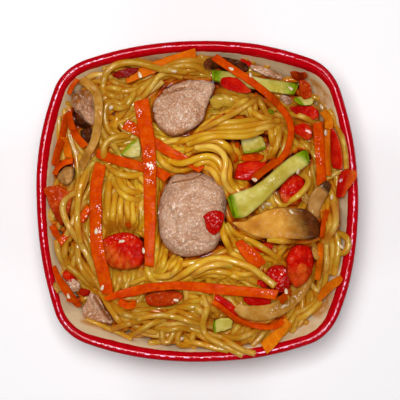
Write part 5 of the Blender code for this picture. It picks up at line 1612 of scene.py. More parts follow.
def paint_noodles(name, low):
    p = Paint(name)
    strand, deep = p.attribute("strand"), p.attribute("deep")
    patch = p.noise(95, 3, 0.6)
    top = p.ramp(strand, (0.0, hue(206, 156, 24)), (0.25, hue(217, 179, 48)), (0.45, hue(200, 146, 20)),
                 (0.7, hue(211, 168, 35)), (0.85, hue(204, 150, 24)), (1.0, hue(224, 188, 80)))
    # painted shade: darker copies of the strand colours, used more the farther a noodle lies from the bowl's middle
    outer = p.ramp(strand, (0.0, hue(172, 126, 26)), (0.25, hue(186, 146, 44)), (0.45, hue(166, 114, 20)),
                   (0.7, hue(176, 134, 32)), (0.85, hue(164, 118, 24)), (1.0, hue(196, 160, 72)))
    base = p.mix(p.span(p.across(), 0.026, 0.056), top, outer)
    warm = p.mix(p.calc("MULTIPLY", p.span(patch, 0.48, 0.75), 0.7), base, hue(204, 128, 14))
    pale = p.mix(p.calc("MULTIPLY", p.span(p.noise(160, 2), 0.56, 0.8), 0.5), warm, hue(214, 182, 96))
    up = p.attribute("up")
    # painted shade: where a noodle's surface turns away from upright, its sides are painted red-orange
    rounded = p.mix(p.span(up, 0.84, 0.28, 0.0, 0.62), pale, hue(214, 116, 7))
    # painted highlight: a pale band in broken patches along the top of each noodle
    wide = p.calc("MULTIPLY", p.span(up, 0.90, 0.99), p.span(p.noise(240, 1), 0.45, 0.60))
    lit = p.mix(p.calc("MULTIPLY", wide, 0.38), rounded, hue(232, 202, 116))
    # painted highlight: near-white glints in small spots on the very crest of each noodle
    crest_glint = p.calc("MULTIPLY", p.span(up, 0.960, 0.995), p.span(p.noise(760, 1), 0.55, 0.62))
    crest_glinted = p.mix(p.calc("MULTIPLY", crest_glint, 0.8), lit, hue(250, 236, 200))
    # painted shade: the deep attribute darkens noodles lying below the local top of the heap, first to a sauce-brown,
    # then near black in the deepest gaps
    uneven = p.calc("ADD", deep, p.span(p.noise(240, 3), 0.3, 0.7, -0.10, 0.10))
    darkened = p.mix(p.span(uneven, 0.24, 0.66), crest_glinted, hue(198, 94, 8))
    dark = p.mix(p.span(uneven, 0.62, 0.92), darkened, hue(150, 48, 5))
    dark = p.mix(p.span(uneven, 0.94, 1.10), dark, hue(64, 14, 4))
    p.set(Roughness=0.5, IOR=1.42, Specular_IOR_Level=0.0, Coat_Weight=0.66, Coat_IOR=1.45, Coat_Roughness=0.10,
          Subsurface_Weight=0.6, Subsurface_Radius=(0.0016, 0.0012, 0.0005), Subsurface_Scale=1.0)
    n = p.bump(p.noise(620, 1), 1.0, 0.00009, p.bump(p.noise(230, 1), 1.0, 0.0003))
    return p.finish(dark, n)


def paint_core():
    # The hidden core under the laid noodles, coloured like noodles in shade: painted shade.
    p = Paint("noodles_deep")
    stripes = p.noise(420, 2, 0.5, p.stretched(1, 0.25, 1, 0.6))
    colour = p.ramp(stripes, (0.35, hue(150, 40, 4)), (0.65, hue(196, 84, 8)))
    p.set(Roughness=0.45, Coat_Weight=0.3, Coat_Roughness=0.2)
    return p.finish(colour, p.bump(stripes, 0.8, 0.0008))


def paint_food(name, stops, scale, second, rough=0.3, coat=0.6, coat_rough=0.12, sss=0.15, radius=(0.003, 0.001, 0.0005),
               sparkle=(560, 0.00030), ripple=(200, 0.00012), stretch=None, speck=None, detail=3.0, ior=1.42, spec=0.0,
               coat_ior=1.5, crest=None, darken_to=None, lines=None, glint_dots=None):
    """Colour by noise between stops, with the mask attribute leading to the second colours."""
    p = Paint(name)
    where = p.stretched(*stretch) if stretch else None
    tone = p.noise(scale, detail, 0.55, where)
    colour = p.ramp(tone, *stops)
    if speck:
        size, low, high, tint = speck
        colour = p.mix(p.span(p.noise(size, 2), low, high), colour, tint)
    worm = None
    if lines:
        size, wide, much, tint = lines
        off = p.calc("ABSOLUTE", p.calc("SUBTRACT", p.noise(size, 1, 0.5, None, 0.6), 0.5))
        worm = p.span(off, 0.0, wide, 1.0, 0.0)
        broken = p.calc("MULTIPLY", worm, p.span(p.noise(130, 2), 0.4, 0.6, 0.25, 1.0))
        colour = p.mix(p.calc("MULTIPLY", broken, much), colour, tint)
    mask = p.attribute("mask")
    soft = p.span(p.calc("ADD", mask, p.span(p.noise(500, 2), 0, 1, -0.12, 0.12)), 0.15, 0.85)
    other = p.ramp(p.noise(scale * 1.7, 2), *second)
    colour = p.mix(soft, colour, other)
    if crest:
        colour = p.mix(p.span(p.attribute("ridge"), 0.45, 1.0, 0.0, 0.5), colour, crest)
    # painted highlight: whitish glint specks where the glint strength attribute is high and the surface faces up, with
    # a solid bright core where it is highest
    if glint_dots:
        size, spread_to, some, low, high, much, tint = glint_dots
        core = p.span(p.attribute("wet"), 0.86, 1.0, 0.0, 0.20)
        spots = p.calc("MAXIMUM", p.glint_dots(size, spread_to, some),
                       p.span(p.calc("ADD", p.noise(size * 0.6, 1), core), 0.66, 0.70))
        wet = p.calc("MULTIPLY", spots, p.calc("MULTIPLY", p.attribute("wet"), p.span(p.attribute("up"), low, high)))
        colour = p.mix(p.calc("MULTIPLY", wet, much), colour, tint)
    # darkened by the shade attribute: a darker tone on some pieces, and painted shade in the turkey's creases and
    # groove
    shade = p.attribute("shade")
    colour = p.mix(p.span(shade, 0, 1, 0, 0.85), colour, darken_to or hue(89, 53, 24))
    p.set(Roughness=rough, IOR=ior, Specular_IOR_Level=spec, Coat_Weight=coat, Coat_IOR=coat_ior,
          Coat_Roughness=coat_rough, Subsurface_Weight=sss, Subsurface_Radius=radius, Subsurface_Scale=1.0)
    under = p.bump(p.noise(ripple[0], 2), 1.0, ripple[1])
    if worm is not None:
        under = p.bump(worm, 1.0, 0.00012, under)
    n = p.bump(p.noise(sparkle[0], 1), 1.0, sparkle[1], under)
    return p.finish(colour, n)


def paint_glaze():
    p = Paint("bowl_glaze")
    side = p.attribute("inside")          # millimetres inward from where the red ends
    edge = p.span(p.calc("ADD", side, p.span(p.noise(260, 2), 0.3, 0.7, -0.22, 0.22)), -0.12, 0.12)
    red = p.ramp(p.noise(480, 4, 0.7), (0.34, hue(160, 0, 6)), (0.5, hue(174, 1, 12)), (0.68, hue(186, 4, 20)))
    cream = p.ramp(p.noise(70, 3), (0.3, hue(216, 191, 150)), (0.7, hue(226, 203, 164)))
    speck = p.mix(p.span(p.noise(900, 2), 0.66, 0.74), cream, hue(178, 142, 86))
    stain = p.calc("MULTIPLY", p.attribute("stain"), p.span(p.noise(230, 3), 0.3, 0.62))
    darkened = p.mix(stain, speck, hue(186, 120, 34))
    # painted highlight: broken lavender-white dashes along the rim's crest, where the surface faces straight up
    rim_glint_dash = p.calc("MULTIPLY", p.span(p.noise(560, 2), 0.50, 0.57), p.span(p.noise(55, 2), 0.42, 0.56, 0.15, 1.0))
    wet = p.calc("MULTIPLY", rim_glint_dash, p.span(p.attribute("up"), 0.990, 0.998))
    red = p.mix(p.calc("MULTIPLY", wet, 0.9), red, hue(244, 196, 226))
    colour = p.mix(edge, red, darkened)
    p.set(Roughness=0.40, IOR=1.5, Specular_IOR_Level=0.0, Coat_Weight=0.25, Coat_IOR=1.45, Coat_Roughness=0.05)
    n = p.bump(p.noise(560, 1), 1.0, 0.00010, p.bump(p.noise(60, 2), 1.0, 0.0003))
    return p.finish(colour, n)


MATS = {}


def make_materials():
    MATS["noodles"] = paint_noodles("noodles", False)
    MATS["core"] = paint_core()
    MATS["bowl"] = paint_glaze()
    MATS["carrot"] = paint_food(
        "carrot", ((0.3, hue(184, 48, 0)), (0.5, hue(197, 63, 0)), (0.7, hue(205, 82, 0))), 260,
        ((0.35, hue(216, 126, 16)), (0.65, hue(206, 104, 8))), rough=0.45, coat=0.015, sss=0.35,
        radius=(0.0030, 0.0012, 0.0003), sparkle=(720, 0.00012), coat_rough=0.09, ripple=(160, 0.0001), darken_to=hue(120, 36, 4),
        glint_dots=(1250, 0.36, 0.34, 0.80, 0.95, 1.0, hue(255, 236, 232)))
    MATS["turkey"] = paint_food(
        "turkey", ((0.30, hue(168, 112, 76)), (0.5, hue(184, 136, 104)), (0.68, hue(196, 154, 126))), 120,
        ((0.35, hue(136, 78, 28)), (0.65, hue(170, 106, 46))), rough=0.55, coat=0.4, coat_rough=0.11, sss=0.3,
        radius=(0.0024, 0.0012, 0.0008), sparkle=(760, 0.00034), ripple=(260, 0.0004), crest=hue(220, 190, 162),
        speck=(900, 0.50, 0.74, hue(216, 184, 156)), lines=(420, 0.05, 0.25, hue(226, 202, 180)),
        glint_dots=(1200, 0.34, 0.22, 0.5, 0.8, 0.9, hue(252, 238, 226)),
        darken_to=hue(128, 66, 18))
    MATS["tomato"] = paint_food(
        "tomato", ((0.3, hue(172, 4, 1)), (0.5, hue(188, 14, 1)), (0.66, hue(200, 44, 6))), 210,
        ((0.35, hue(190, 62, 8)), (0.65, hue(206, 100, 28))), rough=0.35, coat=0.16, coat_rough=0.08, sss=0.5,
        radius=(0.0050, 0.0010, 0.0005), sparkle=(700, 0.00018), ripple=(140, 0.0003), darken_to=hue(96, 10, 4),
        speck=(700, 0.60, 0.72, hue(214, 70, 30)),
        glint_dots=(1200, 0.34, 0.5, 0.6, 0.9, 0.95, hue(252, 206, 204)))
    MATS["tomato_soft"] = paint_food(
        "tomato_soft", ((0.3, hue(158, 34, 2)), (0.55, hue(176, 54, 6)), (0.75, hue(190, 84, 26))), 240,
        ((0.35, hue(156, 26, 3)), (0.65, hue(172, 62, 10))), rough=0.5, coat=0.04, coat_rough=0.1, sss=0.4,
        radius=(0.0040, 0.0012, 0.0005), sparkle=(600, 0.00020), ripple=(160, 0.0004), darken_to=hue(96, 16, 4),
        speck=(800, 0.60, 0.70, hue(206, 120, 74)))
    MATS["mushroom_pale"] = paint_food(
        "mushroom_pale", ((0.3, hue(158, 104, 46)), (0.5, hue(174, 124, 62)), (0.7, hue(190, 146, 88))), 150,
        ((0.3, hue(50, 26, 10)), (0.7, hue(90, 54, 26))), rough=0.45, coat=0.4, coat_rough=0.10, sss=0.4,
        radius=(0.0030, 0.0018, 0.0010), sparkle=(600, 0.00028), ripple=(200, 0.0003), darken_to=hue(70, 34, 10))
    MATS["pepper"] = paint_food(
        "pepper", ((0.3, hue(162, 4, 2)), (0.5, hue(178, 10, 3)), (0.68, hue(194, 32, 6))), 170,
        ((0.35, hue(196, 64, 8)), (0.65, hue(206, 94, 28))), rough=0.35, coat=0.20, coat_rough=0.08, sss=0.25,
        radius=(0.0040, 0.0008, 0.0003), sparkle=(700, 0.00016), ripple=(160, 0.0003), darken_to=hue(84, 4, 4),
        glint_dots=(1200, 0.34, 0.5, 0.35, 0.6, 0.95, hue(250, 214, 212)))
    MATS["zucchini"] = paint_food(
        "zucchini", ((0.3, hue(170, 150, 46)), (0.5, hue(188, 172, 78)), (0.7, hue(206, 196, 120))), 150,
        ((0.35, hue(86, 116, 0)), (0.65, hue(130, 150, 4))), rough=0.45, coat=0.12, coat_rough=0.18, sss=0.5,
        radius=(0.0040, 0.0036, 0.0012), sparkle=(480, 0.00018), ripple=(180, 0.0003), darken_to=hue(150, 116, 22),
        glint_dots=(1200, 0.32, 0.4, 0.8, 0.96, 0.8, hue(248, 244, 214)))
    MATS["mushroom"] = paint_food(
        "mushroom", ((0.3, hue(180, 112, 30)), (0.5, hue(202, 138, 48)), (0.7, hue(218, 164, 78))), 150,
        ((0.3, hue(66, 26, 6)), (0.7, hue(100, 48, 14))), rough=0.45, coat=0.4, coat_rough=0.12, sss=0.3,
        radius=(0.0030, 0.0016, 0.0006), sparkle=(520, 0.00022), ripple=(200, 0.0003), darken_to=hue(70, 34, 10),
        glint_dots=(1200, 0.32, 0.5, 0.8, 0.96, 0.8, hue(250, 228, 190)))
    MATS["mushroom_cap"] = paint_food(
        "mushroom_cap", ((0.3, hue(38, 14, 5)), (0.7, hue(88, 40, 15))), 320,
        ((0.3, hue(70, 26, 8)), (0.7, hue(110, 56, 24))), rough=0.5, coat=0.2, coat_rough=0.12, sss=0.0,
        sparkle=(520, 0.00030), ripple=(220, 0.0005))
    MATS["onion"] = paint_food(
        "onion", ((0.3, hue(158, 102, 26)), (0.5, hue(178, 124, 44)), (0.7, hue(196, 150, 74))), 130,
        ((0.35, hue(136, 74, 14)), (0.65, hue(150, 90, 24))), rough=0.4, coat=0.28, coat_rough=0.10, sss=0.5,
        radius=(0.0040, 0.0028, 0.0014), sparkle=(420, 0.00026), ripple=(130, 0.0004), darken_to=hue(110, 60, 16),
        speck=(330, 0.52, 0.70, hue(190, 146, 80)),
        glint_dots=(1100, 0.34, 0.22, 0.7, 0.92, 0.95, hue(252, 240, 224)))
    MATS["onion_yellow"] = paint_food(
        "onion_yellow", ((0.3, hue(160, 120, 20)), (0.5, hue(174, 136, 34)), (0.7, hue(192, 156, 62))), 130,
        ((0.35, hue(150, 96, 20)), (0.65, hue(166, 112, 30))), rough=0.4, coat=0.5, coat_rough=0.10, sss=0.5,
        radius=(0.0030, 0.0024, 0.0010), sparkle=(420, 0.00026), ripple=(130, 0.0004), darken_to=hue(110, 60, 16))
    MATS["sesame"] = paint_food(
        "sesame", ((0.3, hue(206, 180, 142)), (0.7, hue(230, 208, 178))), 400,
        ((0.3, hue(190, 152, 104)), (0.7, hue(206, 172, 128))), rough=0.45, coat=0.5, coat_rough=0.12, sss=0.1,
        sparkle=(1500, 0.0001), ripple=(500, 0.0001))


# ------------------------------------------------------------ objects
def make(name, verts, tris, kind, slot, nodes=(), **attributes):
    me = bpy.data.meshes.new(name)
    me.vertices.add(len(verts))
    me.vertices.foreach_set("co", np.asarray(verts, np.float32).ravel())
    me.loops.add(len(tris) * 3)
    me.loops.foreach_set("vertex_index", np.asarray(tris, np.int32).ravel())
    me.polygons.add(len(tris))
    me.polygons.foreach_set("loop_start", np.arange(0, 3 * len(tris), 3, dtype=np.int32))
    me.update(calc_edges=True)
    me.validate()
    me.shade_smooth()
    # the normal's upward share, which places the painted highlights and shade
    attributes["up"] = facing(np.asarray(verts, float), np.asarray(tris))[:, 2]
    # how strong the painted glints are, by place
    if slot not in ("noodles", "bowl_glaze", "sesame"):
        attributes["wet"] = wetness(np.asarray(verts, float), kind)
    for key, values in attributes.items():
        layer = me.attributes.new(key, "FLOAT", "POINT")
        layer.data.foreach_set("value", np.asarray(values, np.float32))
    me.materials.append(MATS[kind])
    obj = bpy.data.objects.new(name, me)
    bpy.context.scene.collection.objects.link(obj)
    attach(obj, "root")
    if nodes:
        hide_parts(*nodes)
    return obj


def smoothstep(x, a, b):
    t = np.clip((x - a) / (b - a), 0, 1)
    return t * t * (3 - 2 * t)


def to_line(u, v, pts):
    """Distance in units from a broken line."""
    best = np.full(len(u), 1e9)
    for (a, b), (c, d) in zip(pts[:-1], pts[1:]):
        lx, ly = c - a, d - b
        t = np.clip(((u - a) * lx + (v - b) * ly) / (lx * lx + ly * ly), 0, 1)
        best = np.minimum(best, np.hypot(u - a - lx * t, v - b - ly * t))
    return best


def masks(name, u, v, share, across):
    """Where a piece shows its second colour (mask) or is darkened (shade); in the turkey's creases and groove, both are
    painted shade.
    """
    n = len(u)
    zero = np.zeros(n)
    if name == "zucchini_stick":
        ends = np.maximum(smoothstep(share, 0.13, 0.02), smoothstep(share + 0.05 * across, 0.86, 0.99))
        return ends, 0.45 * smoothstep(np.abs(share - 0.62), 0.30, 0.05) * smoothstep(across, 0.9, -0.9)
    if name == "zucchini_top":
        ends = np.maximum(smoothstep(share, 0.22, 0.02), 0.95 * smoothstep(share, 0.78, 0.99))
        return np.maximum(ends, 0.45 * smoothstep(across, 0.5, 1.0) * smoothstep(share, 0.5, 0.7)), zero
    if name == "zucchini_mid":
        return smoothstep(to_line(u, v, [(242, 154), (250, 154), (258, 152), (267, 148)]), 4.6, 1.2), zero + 0.12
    if name == "zucchini_left":
        return smoothstep(to_line(u, v, [(119, 155), (126, 147.5), (134, 139.5)]), 5.0, 1.2), zero + 0.18
    if name == "zucchini_bottom":
        return smoothstep(to_line(u, v, [(213, 319), (213, 332)]), 4.0, 1.5), zero
    if name == "zucchini_corner":
        return smoothstep(to_line(u, v, [(292, 98), (300, 106)]), 6.5, 2.5), zero
    if name == "g":
        return np.ones(n), zero + 0.3
    if name == "mushroom_slice":
        low = 0.25 * smoothstep(v - 0.06 * (u - 250), 230, 236) * smoothstep(u, 315, 290)
        return np.maximum(smoothstep(u - 0.3 * (v - 225), 268, 322), low), zero
    if name == "mushroom_slab":
        return smoothstep(share, 0.30, 0.12), zero
    if name == "mushroom_knob":
        # painted shade: the knob's right side is painted in the dark second colour
        return smoothstep(u, 69, 76), zero
    if name == "turkey_left":
        ring = np.exp(-((np.hypot(u - 75.5, v - 98.5) - 3.6) / 1.2) ** 2)
        return np.clip(0.42 + ring + smoothstep(np.hypot(u - 86, v - 92), 7, 3), 0, 1), zero
    if name == "turkey_upper":
        # painted shade: the crease is painted golden-brown and darkened
        crease = smoothstep(to_line(u, v, [(163, 94), (172, 90.5), (184, 88)]), 2.2, 0.6)
        rim = smoothstep(to_line(u, v, [(146, 112), (152, 124), (162, 133), (172, 136), (184, 134)]), 9, 1)
        return np.clip(0.22 + 0.5 * crease + 0.55 * rim, 0, 1), 0.4 * crease
    if name == "turkey_centre":
        # painted shade: the crease is painted golden-brown and darkened
        crease = smoothstep(to_line(u, v, [(172, 183.2), (183.5, 180.4), (192.3, 179.2), (197, 177.2), (202.5, 173.6)]), 1.6, 0.5)
        rim = smoothstep(to_line(u, v, [(168, 250), (180, 258), (196, 260), (212, 252), (222, 240)]), 5, 1)
        return np.clip(0.5 * crease + 0.5 * rim, 0, 1), 0.42 * crease
    if name == "turkey_slice":
        # painted shade: the groove is painted darker brown
        groove_shade = smoothstep(to_line(u, v, [(94, 297), (98.5, 304), (103, 311), (110, 319)]), 2.8, 0.9)
        return np.clip(0.3 + 0.3 * groove_shade, 0, 1), 0.85 * groove_shade
    if name == "turkey_strip":
        return 0.25 + 0.4 * smoothstep(share, 0.5, 0.9), zero + 0.1
    if name == "tomato_left":
        streaks = 0.25 * np.sin(np.arctan2(v - 238, u - 126) * 22)
        return np.clip(smoothstep((118 - u) * 0.5 + (v - 250) * 0.6, -5, 7) * (0.75 + streaks), 0, 1) * smoothstep(v, 237, 246), zero
    if name == "tomato_low":
        return np.clip(smoothstep(np.hypot(u - 302, v - 268), 6, 1.5) + 0.55 * smoothstep(v, 258, 280), 0, 1), zero
    if name == "tomato_mid":
        return 0.75 * smoothstep(v - 0.6 * (u - 290), 192, 204), zero
    if name == "tomato_bottom":
        return 0.42 + 0.35 * smoothstep(np.hypot((u - 160) / 1.6, v - 299), 7, 2), zero
    if name == "tomato_upper":
        return 0.3 * smoothstep(u, 300, 308), zero
    if name == "tomato_wedge":
        return smoothstep(v, 206, 216), 0.5 * smoothstep(v, 200, 222)
    if name == "tomato_curl":
        return np.ones(n), 0.2 + 0.6 * smoothstep(np.hypot(u - 301, v - 76), 5, 2)
    if name == "tomato_leaf":
        return zero, zero
    if name == "pepper_dark":
        return zero, zero + 0.85
    if name == "tomato_rim":
        return 0.75 * smoothstep(u + 0.3 * (v - 180), 343, 351), zero
    if name == "pepper_right":
        return 0.6 * smoothstep(across, 0.45, 1.0), 0.18 * smoothstep(across, -0.2, -0.9)
    if name == "pepper_upper":
        return 0.4 * smoothstep(v, 113, 119), zero
    if name == "pepper_top":
        return 0.5 * smoothstep(u, 238, 250), 0.25 * smoothstep(u, 228, 220)
    if name == "mushroom_dark_top":
        return smoothstep(u, 214, 206), zero
    if name == "k1":
        return zero + 0.1, zero
    if name in ("c3", "r2"):
        return zero, zero + 0.5
    if name == "carrot_j":
        return zero + 0.9, zero
    if name in ("carrot_l", "l2"):
        return zero, zero + 0.22
    if name == "carrot_x":
        return 0.7 + zero, 0.22 + zero
    if name in ("carrot_h", "carrot_w", "carrot_i", "carrot_n"):
        return 0.55 + zero, zero
    if name == "carrot_m":
        return zero, 0.25 + zero
    if name == "onion_left":
        return 0.35 * smoothstep(share, 0.5, 0.9), zero
    if name in ("f3", "z", "c2", "v", "y", "h2"):
        return zero + (0.9 if name == "h2" else 0.2), zero + 0.25
    return zero, zero


# places where glints are painted, as specks of highlight: (radius, how strong, points)
GLINT_PLACES = [(9, 0.8, [(147, 156), (149, 164)]), (5.2, 1.0, [(148, 163.5), (152, 167)]), (6, 0.8, [(149, 170), (150, 180)]),
       (5.5, 0.8, [(160, 134), (178, 147), (192, 157)]), (3.6, 0.85, [(99.5, 206), (100.5, 230), (104, 254)]),
       (2.6, 1.0, [(98, 206), (98.6, 209)]), (2.2, 0.84, [(100.5, 228), (101, 240)]), (7, 0.7, [(58, 249), (67, 241)]), (4, 0.7, [(89, 209), (82, 221)]),
       (2.4, 0.7, [(262, 292), (273, 293)]), (5, 0.8, [(266, 186), (277, 177)]), (4, 0.9, [(317, 122), (319, 128)]),
       (3.2, 0.6, [(318, 132), (320, 165)]), (3.4, 0.7, [(65, 118), (61, 137)]), (6, 0.8, [(128, 122), (134, 130)]),
       (13, 0.32, [(277, 270), (279, 284)]), (2.2, 1.0, [(285, 270), (285.5, 270)]),
       (2.2, 1.0, [(281.5, 274.5), (282, 274.5)]), (7, 0.45, [(212, 217), (216, 222)]), (4, 0.7, [(104, 246), (114, 237), (134, 236)]),
       (3.4, 1.0, [(307, 130), (309, 133)]), (4, 1.0, [(336, 175), (340, 180)]), (3.5, 0.9, [(266, 313), (284, 306), (308, 286)]), (5, 0.6, [(276, 211), (284, 212)]), (3, 0.9, [(140, 108), (141, 116)]),
       (4, 0.3, [(246, 249), (256, 258)]), (6, 0.4, [(268, 92), (282, 94)]), (3, 0.7, [(281, 189), (284, 196)])]


# How strong the painted glints are at each point: the turkey all over, other food only at the listed places.
def wetness(verts, kind):
    u, v = to_units(verts)
    out = np.full(len(u), 0.55 if kind == "turkey" else 0.03)
    for radius, much, pts in GLINT_PLACES:
        out = np.maximum(out, much * smoothstep(to_line(u, v, pts), radius, 0.45 * radius))
    return out


PILE_SLOT = {k: k for k in ("carrot", "turkey", "tomato", "pepper", "zucchini", "mushroom", "mushroom_cap", "onion")}


CREASES = {
    "turkey_centre": [(0.95, 0.9, [(172, 183), (183.5, 180.2), (192.3, 179), (197, 177), (202.5, 173.5)]),
                      (0.5, 2.0, [(166, 200), (172, 214), (176, 232)]), (0.6, 2.0, [(196, 196), (208, 204), (216, 208)]),
                      (0.4, 1.6, [(180, 246), (192, 240), (206, 243)])],
    "turkey_upper": [(1.3, 1.3, [(164, 94), (175, 90.5), (183, 88.7), (191, 88)]),
                     (0.7, 2.2, [(196, 96), (201, 108), (200, 120)]), (0.5, 1.6, [(158, 118), (168, 122), (180, 130)])],
    "turkey_left": [(0.9, 1.2, [(78, 92), (81, 97), (79, 103), (74, 105)]), (0.5, 1.5, [(84, 96), (88, 108), (92, 120)])],
    "turkey_slice": [(1.2, 1.2, [(94, 296), (99, 304), (104, 311), (110, 320)]), (0.8, 1.2, [(90, 300), (94, 308), (92, 316)])],
}
FIBRE = {
    "turkey_centre": ((204, 200), 7.0, 0.42, 0.34), "turkey_upper": ((192, 84), 6.5, 0.42, 0.34),
    "turkey_left": ((76, 98), 4.0, 0.42, 0.30), "turkey_slice": ((112, 300), 5.0, 0.42, 0.30),
    "turkey_bit": ((70, 290), 2.0, 0.3, 0.25), "turkey_strip": ((262, 40), 3.0, 0.4, 0.25), "h": ((280, 110), 2.0, 0.3, 0.2),
}


def fine(item, seed):
    """A topping at full detail: vertices, triangles, share along, share across, and how high its ridges stand."""
    kind, name = item["kind"], item["name"]
    ridge = None
    if item["form"] == "strip":
        if name in RUN:
            item = run_to(item, RUN[name])
        style = {
            "carrot": dict(corner=0.5, uneven=0.05, crown=0.14, skew=(0.12, 0.2)),
            "pepper": dict(corner=0.8, uneven=0.06, crown=0.35, skew=(0.3, 0.2)),
            "onion": dict(corner=0.8, uneven=0.07, crown=0.25, skew=(0.2, 0.3)),
            "zucchini": dict(corner=1.7, uneven=0.035, crown=0.35, skew=(0.12, 0.25)),
            "mushroom": dict(corner=1.2, uneven=0.06, crown=0.3, skew=(0.1, 0.2)),
            "turkey": dict(corner=1.1, uneven=0.12, crown=0.3, skew=(0.2, 0.3)),
        }[kind]
        if (seed * 7) % 2:
            style["skew"] = (-style["skew"][0], style["skew"][1])
        verts, tris, share, across = fine_strip(item, seed, **style)
        mm = {"turkey": 0.35, "zucchini": 0.14, "mushroom": 0.16, "onion": 0.12}.get(kind, 0.10)
        verts = roughen(verts, tris, 330, mm, seed)
    elif item["form"] == "lump":
        size = max(item["half"])
        around, over = (250, 144) if size > 0.014 else (150, 86) if size > 0.008 else (72, 40)
        verts, tris, ball = fine_lump(item, around, over)
        share = across = ball[:, 2]
        if name in OUTLINE:
            verts = drawn_to(verts, OUTLINE[name])
        if kind == "turkey":
            verts = roughen(verts, tris, 110, 0.55 if size > 0.008 else 0.3, seed, 2)
        elif kind == "tomato":
            verts = roughen(verts, tris, 160, 0.22, seed, 2)
        else:
            verts = roughen(verts, tris, 240, 0.16, seed, 3)
    else:
        size = max(np.ptp(item["verts"][:, :2], axis=0))
        verts, tris, share = fine_plate(item, 220 if size > 0.022 else 110 if size > 0.012 else 60, rings=3 if size > 0.022 else 1)
        across = share
        if name in OUTLINE:
            verts = drawn_to(verts, OUTLINE[name])
        if kind == "turkey":
            verts = roughen(verts, tris, 130, 0.5, seed, 2)
        elif kind == "mushroom":
            verts = roughen(verts, tris, 150, 0.3, seed, 3)
        elif kind == "mushroom_cap":
            verts = roughen(verts, tris, 260, 0.3, seed, 3)
        else:
            verts = roughen(verts, tris, 170, 0.22, seed, 3)
    if name in CREASES:
        verts = crease(verts, CREASES[name])
    if kind == "turkey":
        centre, turns, per_unit, mm = FIBRE.get(name, ((0, 0), 3.0, 0.3, 0.25))
        verts, ridge = fibres(verts, tris, centre, turns, per_unit, mm, seed)
        verts = roughen(verts, tris, 640, 0.14, seed + 3, 2)
    if ridge is None:
        ridge = np.zeros(len(verts))
    return verts, tris, share, across, ridge


LOOK = {"tomato_crimson": "pepper", "tomato_skin": "pepper", "tomato_bottom": "tomato_soft", "onion_pale": "onion_yellow", "tomato_wedge": "tomato_soft", "tomato_curl": "tomato_soft", "tomato_leaf": "tomato_soft",
        "mushroom_knob": "mushroom_pale", "mushroom_slab": "mushroom_pale"}


def make_toppings():
    for k, item in enumerate(PILE.items):
        verts, tris, share, across, ridge = fine(item, 3 + k)
        u, v = to_units(verts)
        mask, shade = masks(item["name"], u, v, share, across)
        make("fine_" + item["name"], verts, tris, LOOK.get(item["name"], item["kind"]), PILE_SLOT[item["kind"]], [item["name"]],
             mask=mask, shade=shade, ridge=ridge)
    kinds = {}
    for k, item in enumerate(BITS):
        verts, tris, share, across, ridge = fine(item, 90 + k)
        u, v = to_units(verts)
        mask, shade = masks(item["name"], u, v, share, across)
        kinds.setdefault(item["kind"], []).append((verts, tris, mask, shade, ridge))
    for kind, parts in kinds.items():
        off, vs, ts = 0, [], []
        for part in parts:
            vs.append(part[0])
            ts.append(part[1] + off)
            off += len(part[0])
        make("bits_" + kind, np.vstack(vs), np.vstack(ts), kind, PILE_SLOT[kind],
             mask=np.concatenate([q[2] for q in parts]), shade=np.concatenate([q[3] for q in parts]),
             ridge=np.concatenate([q[4] for q in parts]))


def make_noodles():
    # the local top of the heap, from which the painted gap shade is measured
    near = soften(spread(np.maximum(HEAP, TOPS - 0.0035), 1), 2, 2)
    groups = {}
    for k, (pts, r, kind, ends) in enumerate(LAID):
        if kind == "low":
            key, sides, step = "low", 8, 0.0014
        elif kind == "mid":
            key, sides, step = "mid", 10, 0.0010
        else:
            key, sides, step = "top", 14, 0.0008
        verts, tris = tube(pts, r, sides, step, ends, k)
        groups.setdefault(key, []).append((verts, tris, k))
    for key, parts in groups.items():
        batch, count, part = [], 0, 0
        todo = parts + [None]
        for one in todo:
            if one is None or count + len(one[1]) > 190000:
                off, vs, ts, strand, gap_shade_scale = 0, [], [], [], []
                for verts, tris, k in batch:
                    vs.append(verts)
                    ts.append(tris + off)
                    off += len(verts)
                    strand.append(np.full(len(verts), (k * 0.6180339) % 1.0))
                    gap_shade_scale.append(np.full(len(verts), 0.15 if k in CLEAR else 1.0))
                verts = np.vstack(vs)
                # painted shade: how far each point lies below the local top; noodles that lie alone get only a little
                # of it
                lid = level(near, verts[:, 0], verts[:, 1])
                deep = np.clip((lid - 0.0007 - verts[:, 2]) / 0.0066, 0, 1.1) * np.concatenate(gap_shade_scale)
                part += 1
                make(f"noodles_{key}_{part}", verts, np.vstack(ts), "noodles", "noodles",
                     strand=np.concatenate(strand), deep=deep)
                batch, count = [], 0
            if one is not None:
                batch.append(one)
                count += len(one[1])


def wall_at(z_mm):
    """Half widths of the bowl's inside at a height in mm."""
    rows = [(FLAT_HALF * 1000 + RIM[-1][0], DIAG_HALF * 1000 + RIM[-1][0], RIM[-1][1])] + INNER
    rows = np.array(rows[::-1])
    return np.interp(z_mm, rows[:, 2], rows[:, 0]), np.interp(z_mm, rows[:, 2], rows[:, 1])


